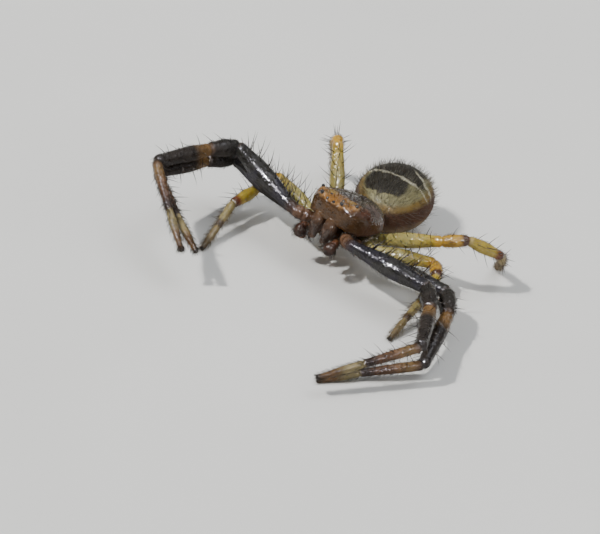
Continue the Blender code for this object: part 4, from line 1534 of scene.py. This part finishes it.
def gloss(tree, shader, mottle, rough, spread, clear, clear_rough):
    """Gloss on the upper faces, with a clear coat, and a dull nap of down on the undersides.

    Roughness = rough + spread mottle + 0.35 under, and the coat's weight = clear (1 - 0.85 under).
    """
    upward = axes_of(tree, add_node(tree, "NewGeometry").outputs["Normal"])["Z"]
    under = ease(tree, upward, 0.40, -0.35)
    base = plus_times(tree, mottle, spread, rough)
    feed(tree, shader.inputs["Roughness"], plus_times(tree, under, DOWN_ROUGHNESS, base))
    feed(tree, shader.inputs["Coat Weight"], plus_times(tree, under, -DOWN_DULLING * clear, clear))
    feed(tree, shader.inputs["Coat Roughness"], clear_rough)


print("a nap of down raises roughness by up to", DOWN_ROUGHNESS)

# %% [markdown]
# ## Colours along the legs
#
# The front legs have black femora and rusty bands from the tibia on; the hind legs are yellow
# with dark rings at the joints. The number of segments from the root runs along each skin, so
# one ramp over it can draw all bands. Its stops are places along the leg, where a whole number
# is a joint.

# %% Colours along the legs
BLACK = (0.019, 0.018, 0.015)
BLACK_BROWN = (0.021, 0.016, 0.012)
COXA_BROWN = (0.125, 0.066, 0.036)
BAND_ORANGE = (0.155, 0.086, 0.030)
RED_BROWN = (0.120, 0.062, 0.028)
RING_BROWN = (0.030, 0.018, 0.012)
OLIVE = (0.23, 0.185, 0.085)
RUST = (0.125, 0.068, 0.026)
TIP_DARK = (0.035, 0.028, 0.022)
FRONT_BANDS = (
    (0.0, COXA_BROWN), (0.90, COXA_BROWN), (1.0, (0.055, 0.028, 0.016)), (1.10, BLACK), (1.97, BLACK),
    (2.0, (0.05, 0.035, 0.028)), (2.03, BLACK), (2.90, BLACK_BROWN), (3.0, (0.07, 0.038, 0.018)),
    (3.06, BAND_ORANGE), (3.18, BAND_ORANGE), (3.34, BLACK_BROWN), (4.02, BLACK_BROWN),
    (4.08, (0.09, 0.050, 0.024)), (4.20, (0.17, 0.105, 0.040)), (4.45, RED_BROWN),
    (4.74, (0.09, 0.046, 0.024)), (4.86, RING_BROWN), (4.97, RING_BROWN), (5.02, OLIVE), (5.36, OLIVE),
    (5.58, RUST), (5.90, RUST), (5.97, TIP_DARK), (6.0, TIP_DARK),
)
LEMON = (0.325, 0.275, 0.088)
EGG_YELLOW = (0.41, 0.30, 0.042)
AMBER = (0.47, 0.265, 0.024)
STRAW = (0.31, 0.25, 0.105)
HIND_RING = (0.065, 0.024, 0.012)
HIND_BANDS = (
    (0.0, (0.17, 0.13, 0.045)), (0.95, (0.24, 0.20, 0.070)), (1.05, LEMON), (1.55, LEMON),
    (1.86, EGG_YELLOW), (2.0, AMBER), (2.08, AMBER), (2.66, AMBER), (2.84, HIND_RING), (2.98, HIND_RING),
    (3.02, (0.40, 0.30, 0.10)), (3.10, EGG_YELLOW), (3.70, EGG_YELLOW), (3.84, (0.17, 0.050, 0.018)),
    (3.97, HIND_RING), (4.02, STRAW), (4.66, STRAW), (4.80, (0.085, 0.055, 0.030)),
    (4.97, (0.060, 0.036, 0.022)), (5.03, (0.26, 0.20, 0.09)), (5.5, (0.20, 0.150, 0.072)),
    (5.86, (0.12, 0.085, 0.045)), (6.0, TIP_DARK),
)
print("stops along a front and a hind leg:", len(FRONT_BANDS), "and", len(HIND_BANDS))

# %% [markdown]
# ## The legs' cuticle
#
# The bands of front and hind legs lie under the same grain, and the mottle makes their edges
# ragged. Black spider cuticle also has a violet gleam, from layers thinner than light's waves. It
# is imitated by soft violet patches on the femora and by a tint of the glints, which costs nothing.

# %% Leg finishes
FEMUR_VIOLET = (0.014, 0.012, 0.022)
VIOLET_GLINT = (0.90, 0.88, 1.0)


def leg_finish(name, bands, darkest, lightest, rough, clear, specular):
    """Bands of colour along the leg's segments, under cuticle grain; the colour comes along."""
    material, tree, shader = new_finish(name, specular)
    mottle = add_grain(tree, shader, 10.0, 1.0, 1.0, 0.010)
    ragged = maths(tree, "ADD", attribute(tree, "segment"), plus_times(tree, mottle, 0.10, -0.05))
    colour = mottled(tree, ramp(tree, ragged, bands, len(SEGMENTS)), mottle, darkest, lightest)
    feed(tree, shader.inputs["Base Color"], colour)
    gloss(tree, shader, mottle, rough, 0.16, clear, 0.04)
    return material, tree, shader, colour


front_finish, tree, shader, colour = leg_finish(
    "front_leg_cuticle", FRONT_BANDS, 0.70, 1.35, 0.20, 0.34, 0.22
)
segment = attribute(tree, "segment")
femur = times(tree, ease(tree, segment, 0.98, 1.06), ease(tree, segment, 2.0, 1.9))
patches = ease(tree, noise(tree, millimetres(tree), 1.7, 1), 0.48, 0.62)
violet = times(tree, times(tree, patches, femur), 0.6)
feed(tree, shader.inputs["Base Color"], paint(tree, colour, (violet, FEMUR_VIOLET)))
feed(tree, shader.inputs["Specular Tint"], VIOLET_GLINT)
hind_finish, _, shader, _ = leg_finish("hind_leg_cuticle", HIND_BANDS, 0.74, 1.15, 0.16, 0.6, 0.28)
glow_through(shader, 0.35, 0.10)
for (number, side), skin in skins.items():
    skin.data.materials.append(front_finish if LEG_KINDS[number] == "front" else hind_finish)
print("leg finishes:", front_finish.name, hind_finish.name)

# %% [markdown]
# ## Bristles and hairs
#
# Spider hair is dark at the root and pales where it thins to the tip. A hair's own tone, drawn
# when it was made, decides how far it pales, so a coat looks like many hairs. The abdomen's
# hairs take in addition the colour of the mark they stand on.

# %% Bristle finishes


def bristle_finish(name, root, tip, roughness=0.35, marks=False):
    """Dark roots that pale towards the tip, each hair with its own tone."""
    material, tree, shader = new_finish(name)
    tone = attribute(tree, "tone")
    share = maths(tree, "MULTIPLY", attribute(tree, "tip"), plus_times(tree, tone, 0.8, 0.1), clamp=True)
    colour = paint(tree, root, (share, tip))
    if marks:
        pattern = add_node(tree, "Group", node_tree=abdomen_marks)
        feed(tree, pattern.inputs["Direction"], attribute(tree, "plan", "Vector"))
        colour = paint(tree, pattern.outputs["Color"], (plus_times(tree, tone, 0.5, 0.25), colour))
    feed(tree, shader.inputs["Base Color"], colour)
    feed(tree, shader.inputs["Roughness"], roughness)
    return material


spine_finish = bristle_finish("spine", (0.010, 0.007, 0.005), (0.06, 0.03, 0.015), 0.28)
dark_hair = bristle_finish("dark_hair", (0.012, 0.009, 0.007), (0.10, 0.07, 0.045))
pale_hair = bristle_finish("pale_hair", (0.10, 0.07, 0.035), (0.34, 0.26, 0.15))
egg_hair = bristle_finish("abdomen_hair", (0.030, 0.025, 0.019), (0.22, 0.19, 0.13), 0.4, marks=True)
leg_hair = {"front": dark_hair, "hind": pale_hair}
dressed = [(piece, dark_hair) for piece in (*tufts, *face_hairs, head_bristles)]
dressed += [(piece, egg_hair) for piece in egg_coats] + [(claws, spine_finish), (fangs, spine_finish)]
for (number, side, kind), piece in coats.items():
    dressed.append((piece, spine_finish if kind == "spines" else leg_hair[LEG_KINDS[number]]))
for piece, finish in dressed:
    piece.data.materials.append(finish)
print("pieces with a bristle finish:", len(dressed))

# %% [markdown]
# ## The carapace's colours
#
# The shield is honey-brown at the head, olive on the chest and rust at the sides, with dark patches
# on its crown and a golden spot by the eyes. Its rear slopes are grey: partly their own grey-brown,
# partly a painted sheen that stands for a reflection of the pale floor. Soft ovals on the shares of
# width and length place them, the same on both halves, and the wall below the eyes has its own brown.

# %% Carapace finish
HONEY = (0.19, 0.084, 0.014)
FACE_BROWN = (0.060, 0.028, 0.009)
CROWN_DARK = (0.020, 0.012, 0.008)
GOLD_SPOT = (0.33, 0.20, 0.050)
CHEST_OLIVE = (0.060, 0.047, 0.030)
# grey-brown of the rear slopes, with a painted sheen of the pale floor mixed into it
REAR_GREY_AND_SHEEN = (0.085, 0.062, 0.052)
SIDE_RUST = (0.070, 0.025, 0.011)
EYE_MOUND = (0.40, 0.22, 0.085)
PATCH_EDGE = 0.35  # how soft the ovals are, as a share of their size

carapace_finish, tree, shader = new_finish("carapace_cuticle", 0.15)
mottle = add_grain(tree, shader, 15.0, 1.0, 0.8, 0.010)
place = axes_of(tree, attribute(tree, "plan", "Vector"))
shake = plus_times(tree, mottle, 0.30, -0.15)
across = maths(tree, "ABSOLUTE", place["X"])
along = maths(tree, "ADD", place["Y"], shake)


def distance(first, second):
    """The square root of first^2 + second^2."""
    squares = plus_times(tree, first, first, times(tree, second, second))
    return maths(tree, "SQRT", squares)


def oval(u, v, wide, long):
    """A soft oval on both halves of the carapace, centred at shares (u, v)."""
    aside = maths(tree, "DIVIDE", maths(tree, "SUBTRACT", across, u), wide)
    ahead = maths(tree, "DIVIDE", maths(tree, "SUBTRACT", along, v), long)
    return ease(tree, distance(aside, ahead), 1.0 + PATCH_EDGE, 1.0 - PATCH_EDGE)


side_share = maths(tree, "ADD", across, shake)
rust = times(tree, ease(tree, side_share, 0.50, 0.72), ease(tree, along, 0.05, -0.30))
wall = ease(tree, distance(across, place["Y"]), 0.945, 0.985)
face = paint(tree, FACE_BROWN, (ease(tree, along, -0.55, -0.25), SIDE_RUST))
colour = paint(
    tree,
    HONEY,
    (ease(tree, along, -0.50, -0.18), CHEST_OLIVE),
    (rust, SIDE_RUST),
    # painted sheen: the grey ovals on the rear slopes stand in part for a reflection of the pale floor
    (oval(0.72, 0.16, 0.26, 0.34), REAR_GREY_AND_SHEEN),
    (wall, face),
    (oval(0.13, -0.16, 0.17, 0.20), CROWN_DARK),
    (oval(0.0, 0.42, 0.12, 0.34), CROWN_DARK),
    (oval(0.33, -0.47, 0.13, 0.10), GOLD_SPOT),
    (times(tree, attribute(tree, "eye_ring"), 0.8), EYE_MOUND),
)
feed(tree, shader.inputs["Base Color"], mottled(tree, colour, mottle, 0.6, 1.45))
gloss(tree, shader, mottle, 0.10, 0.2, 0.60, 0.03)
glow_through(shader, 0.08, 0.05)
shell.data.materials.append(carapace_finish)
print("finish:", carapace_finish.name, "with", len(tree.nodes), "nodes")

# %% [markdown]
# ## The abdomen's skin
#
# The abdomen is soft and matt beside the hard parts, because its skin stretches when the spider
# feeds. It takes its colours from the markings group, with weaker grain, almost no clear coat
# and a little light scattered below the surface.

# %% Abdomen finish
abdomen_finish, tree, shader = new_finish("abdomen_skin", 0.09)
mottle = add_grain(tree, shader, 17.0, 0.6, 0.4, 0.012)
marks = add_node(tree, "Group", node_tree=abdomen_marks)
feed(tree, marks.inputs["Direction"], attribute(tree, "plan", "Vector"))
feed(tree, shader.inputs["Base Color"], mottled(tree, marks.outputs["Color"], mottle, 0.78, 1.22))
gloss(tree, shader, mottle, 0.40, 0.2, 0.02, 0.08)
glow_through(shader, 0.1, 0.06)
abdomen.data.materials.append(abdomen_finish)
print("finish:", abdomen_finish.name)

# %% [markdown]
# ## Jaws, palps, plates, spinnerets and eyes
#
# The small hard parts are all brown cuticle of differing gloss, from matt spinnerets to eyes
# like wet glass. One function makes them. On the jaws and palps the colour runs along the part,
# lighter at the root, and on the others it only follows the mottle.

# %% Finishes of the small parts


def plain_cuticle(name, stops, label, rough, clear, specular=0.15):
    """Cuticle whose colour runs along an attribute, or follows the mottle where it has none."""
    material, tree, shader = new_finish(name, specular)
    mottle = add_grain(tree, shader, 13.0, 1.0, 0.8, 0.008)
    colour = ramp(tree, attribute(tree, label) if label else mottle, stops)
    feed(tree, shader.inputs["Base Color"], mottled(tree, colour, mottle, 0.7, 1.3))
    gloss(tree, shader, mottle, rough, 0.2, clear, 0.05)
    return material


def two_browns(dark, light):
    """Stops of a ramp that runs from dark to light over the mottle's middle."""
    return ((0.3, dark), (0.7, light))


JAW_STOPS = (
    (0.0, (0.110, 0.056, 0.022)), (0.3, (0.070, 0.038, 0.022)), (0.8, (0.050, 0.028, 0.020)),
    (1.0, (0.08, 0.042, 0.022)),
)
PALP_STOPS = (
    (0.0, (0.14, 0.06, 0.025)), (0.3, (0.10, 0.04, 0.018)), (0.5, (0.13, 0.055, 0.022)),
    (0.64, (0.09, 0.035, 0.018)), (0.74, (0.045, 0.02, 0.013)), (1.0, (0.035, 0.018, 0.012)),
)
BULB_BROWNS = two_browns((0.10, 0.035, 0.016), (0.21, 0.085, 0.03))
PLATE_BROWNS = two_browns((0.09, 0.045, 0.02), (0.20, 0.11, 0.045))
SPINNER_BROWNS = two_browns((0.11, 0.07, 0.04), (0.20, 0.13, 0.07))
EYE_BLACKS = two_browns((0.004, 0.003, 0.003), (0.012, 0.006, 0.005))
SMALL_PARTS = (  # pieces, name, stops, attribute, roughness, clear coat, specular level
    (jaws.values(), "jaw_cuticle", JAW_STOPS, "share", 0.12, 0.75, 0.15),
    (palps.values(), "palp_cuticle", PALP_STOPS, "share", 0.18, 0.35, 0.15),
    (bulbs.values(), "palp_bulb", BULB_BROWNS, None, 0.08, 0.6, 0.15),
    ((*plates.values(), waist), "plate_cuticle", PLATE_BROWNS, None, 0.26, 0.25, 0.15),
    (spinners, "spinneret", SPINNER_BROWNS, None, 0.4, 0.0, 0.15),
    (beads, "eye", EYE_BLACKS, None, 0.0, 1.0, 0.5),
)
for pieces, *recipe in SMALL_PARTS:
    finish = plain_cuticle(*recipe)
    for piece in pieces:
        piece.data.materials.append(finish)
print("materials so far, with the solids' own:", len(bpy.data.materials))

# %% [markdown]
# ## Floor
#
# The spider stands on a plain pale floor, which shows its shadow and how its feet touch down. It
# is one square much larger than the animal, so that no edge shows, and it belongs to the stage
# and not to the model.

# %% Floor
FLOOR_REACH = 0.25  # metres from the middle to each side
FLOOR_SHADES = ((0.70, 0.70, 0.68), (0.78, 0.78, 0.76))

corners = [(FLOOR_REACH * i, FLOOR_REACH * j, 0) for i, j in ((-1, -1), (1, -1), (1, 1), (-1, 1))]
floor_mesh = bpy.data.meshes.new("floor")
floor_mesh.from_pydata(corners, [], [(0, 1, 2, 3)])
floor = bpy.data.objects.new("floor", floor_mesh)
bpy.context.scene.collection.objects.link(floor)
floor_finish, tree, shader = new_finish("pale_floor", 0.05)
clouds = noise(tree, millimetres(tree), 0.12, 2)
feed(tree, shader.inputs["Base Color"], paint(tree, FLOOR_SHADES[0], (clouds, FLOOR_SHADES[1])))
feed(tree, shader.inputs["Roughness"], 0.6)
floor_mesh.materials.append(floor_finish)
print("floor's side, mm:", 2 * FLOOR_REACH / MM)

# %% [markdown]
# ## Lights
#
# The light is a soft studio: a key from the left, a broad lamp overhead and a weak fill. Suns
# are used because their strength doesn't depend on distance, which is convenient at this scale.
# Two more are seen only in reflections. They put small hard glints on the cuticle and leave the
# shading soft, which one lamp couldn't do at once.

# %% Lights
SUNS = (  # azimuth, elevation and width in degrees, strength, colour, only in reflections
    ("key", -22, 52, 3, 3.3, (1.0, 0.98, 0.95), False),
    ("overhead", 150, 72, 40, 1.1, (0.96, 0.98, 1.0), False),
    ("fill", 110, 35, 60, 0.5, (1.0, 0.98, 0.94), False),
    ("glints_left", -22, 52, 2.5, 8.0, (1.0, 0.99, 0.97), True),
    ("glints_front", 50, 40, 2.5, 6.0, (1.0, 0.99, 0.97), True),
)
HORIZON = (0.30, 0.30, 0.31)
ZENITH = (0.92, 0.95, 1.0)
SKY_STRENGTH = 0.42

for name, azimuth, elevation, breadth, strength, colour, only_glints in SUNS:
    data = bpy.data.lights.new(name, "SUN")
    data.energy, data.angle, data.color = strength, math.radians(breadth), colour
    lamp = bpy.data.objects.new(name, data)
    lamp.rotation_euler = (math.radians(90 - elevation), 0, math.radians(azimuth))
    lamp.visible_diffuse = not only_glints
    bpy.context.scene.collection.objects.link(lamp)
world = bpy.data.worlds.new("studio")
bpy.context.scene.world = world
world.use_nodes = True
sky = world.node_tree
upward = axes_of(sky, add_node(sky, "TexCoord").outputs["Generated"])["Z"]
backdrop = sky.nodes["Background"]
feed(sky, backdrop.inputs["Color"], paint(sky, HORIZON, (ease(sky, upward, -0.1, 0.9), ZENITH)))
feed(sky, backdrop.inputs["Strength"], SKY_STRENGTH)
print("suns:", ", ".join(row[0] for row in SUNS))

# %% [markdown]
# ## Camera
#
# A long lens keeps near and far legs in proportion, as a macro lens does from some way off. The
# camera looks down on the head's left side and is rolled a little. Its distance follows from the
# scale that is wanted at the body, so that the whole stance fills the frame.

# %% Camera
AZIMUTH, ELEVATION, ROLL = 40, 32, 9  # degrees
PIXEL = 0.0248  # mm of the spider for each pixel of the frame
FRAME = (600, 534)  # pixels
BODY_PIXEL = (342.2, 259.2)  # where the floor point under the body falls
LENS = 300  # mm
SENSOR = 36.0

a, e = math.radians(AZIMUTH), math.radians(ELEVATION)
right = np.array([math.cos(a), math.sin(a), 0.0])
up = np.array([-math.sin(e) * math.sin(a), math.sin(e) * math.cos(a), math.cos(e)])
back = np.array([math.cos(e) * math.sin(a), -math.cos(e) * math.cos(a), math.sin(e)])
right, up = rotate_pair(right, up, ROLL)
foot = BODY_PLACE * np.array([1, 1, 0])
aside, rise = FRAME[0] / 2 - BODY_PIXEL[0], BODY_PIXEL[1] - FRAME[1] / 2
aim = foot + (right * aside + up * rise) * PIXEL
# The plane that keeps its size lies at the height of the body.
aim = aim + back * ((BODY_PLACE - aim) @ back)
distance_off = FRAME[0] * PIXEL * LENS / SENSOR
data = bpy.data.cameras.new("camera")
data.lens, data.sensor_width = LENS, SENSOR
data.clip_start, data.clip_end = 0.005, 5.0
camera = bpy.data.objects.new("camera", data)
bpy.context.scene.collection.objects.link(camera)
matrix = np.eye(4)
matrix[:3, :3] = np.stack([right, up, back], 1)
matrix[:3, 3] = (aim + back * distance_off) * MM
camera.matrix_world = Matrix(matrix.tolist())
bpy.context.scene.camera = camera
print("camera distance, mm:", round(distance_off, 1))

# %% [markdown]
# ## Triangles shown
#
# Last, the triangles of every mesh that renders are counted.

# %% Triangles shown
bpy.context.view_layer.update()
shown = [thing.data for thing in bpy.data.objects if thing.type == "MESH" and not thing.hide_render]
print("triangles shown:", sum(len(face.vertices) - 2 for mesh in shown for face in mesh.polygons))
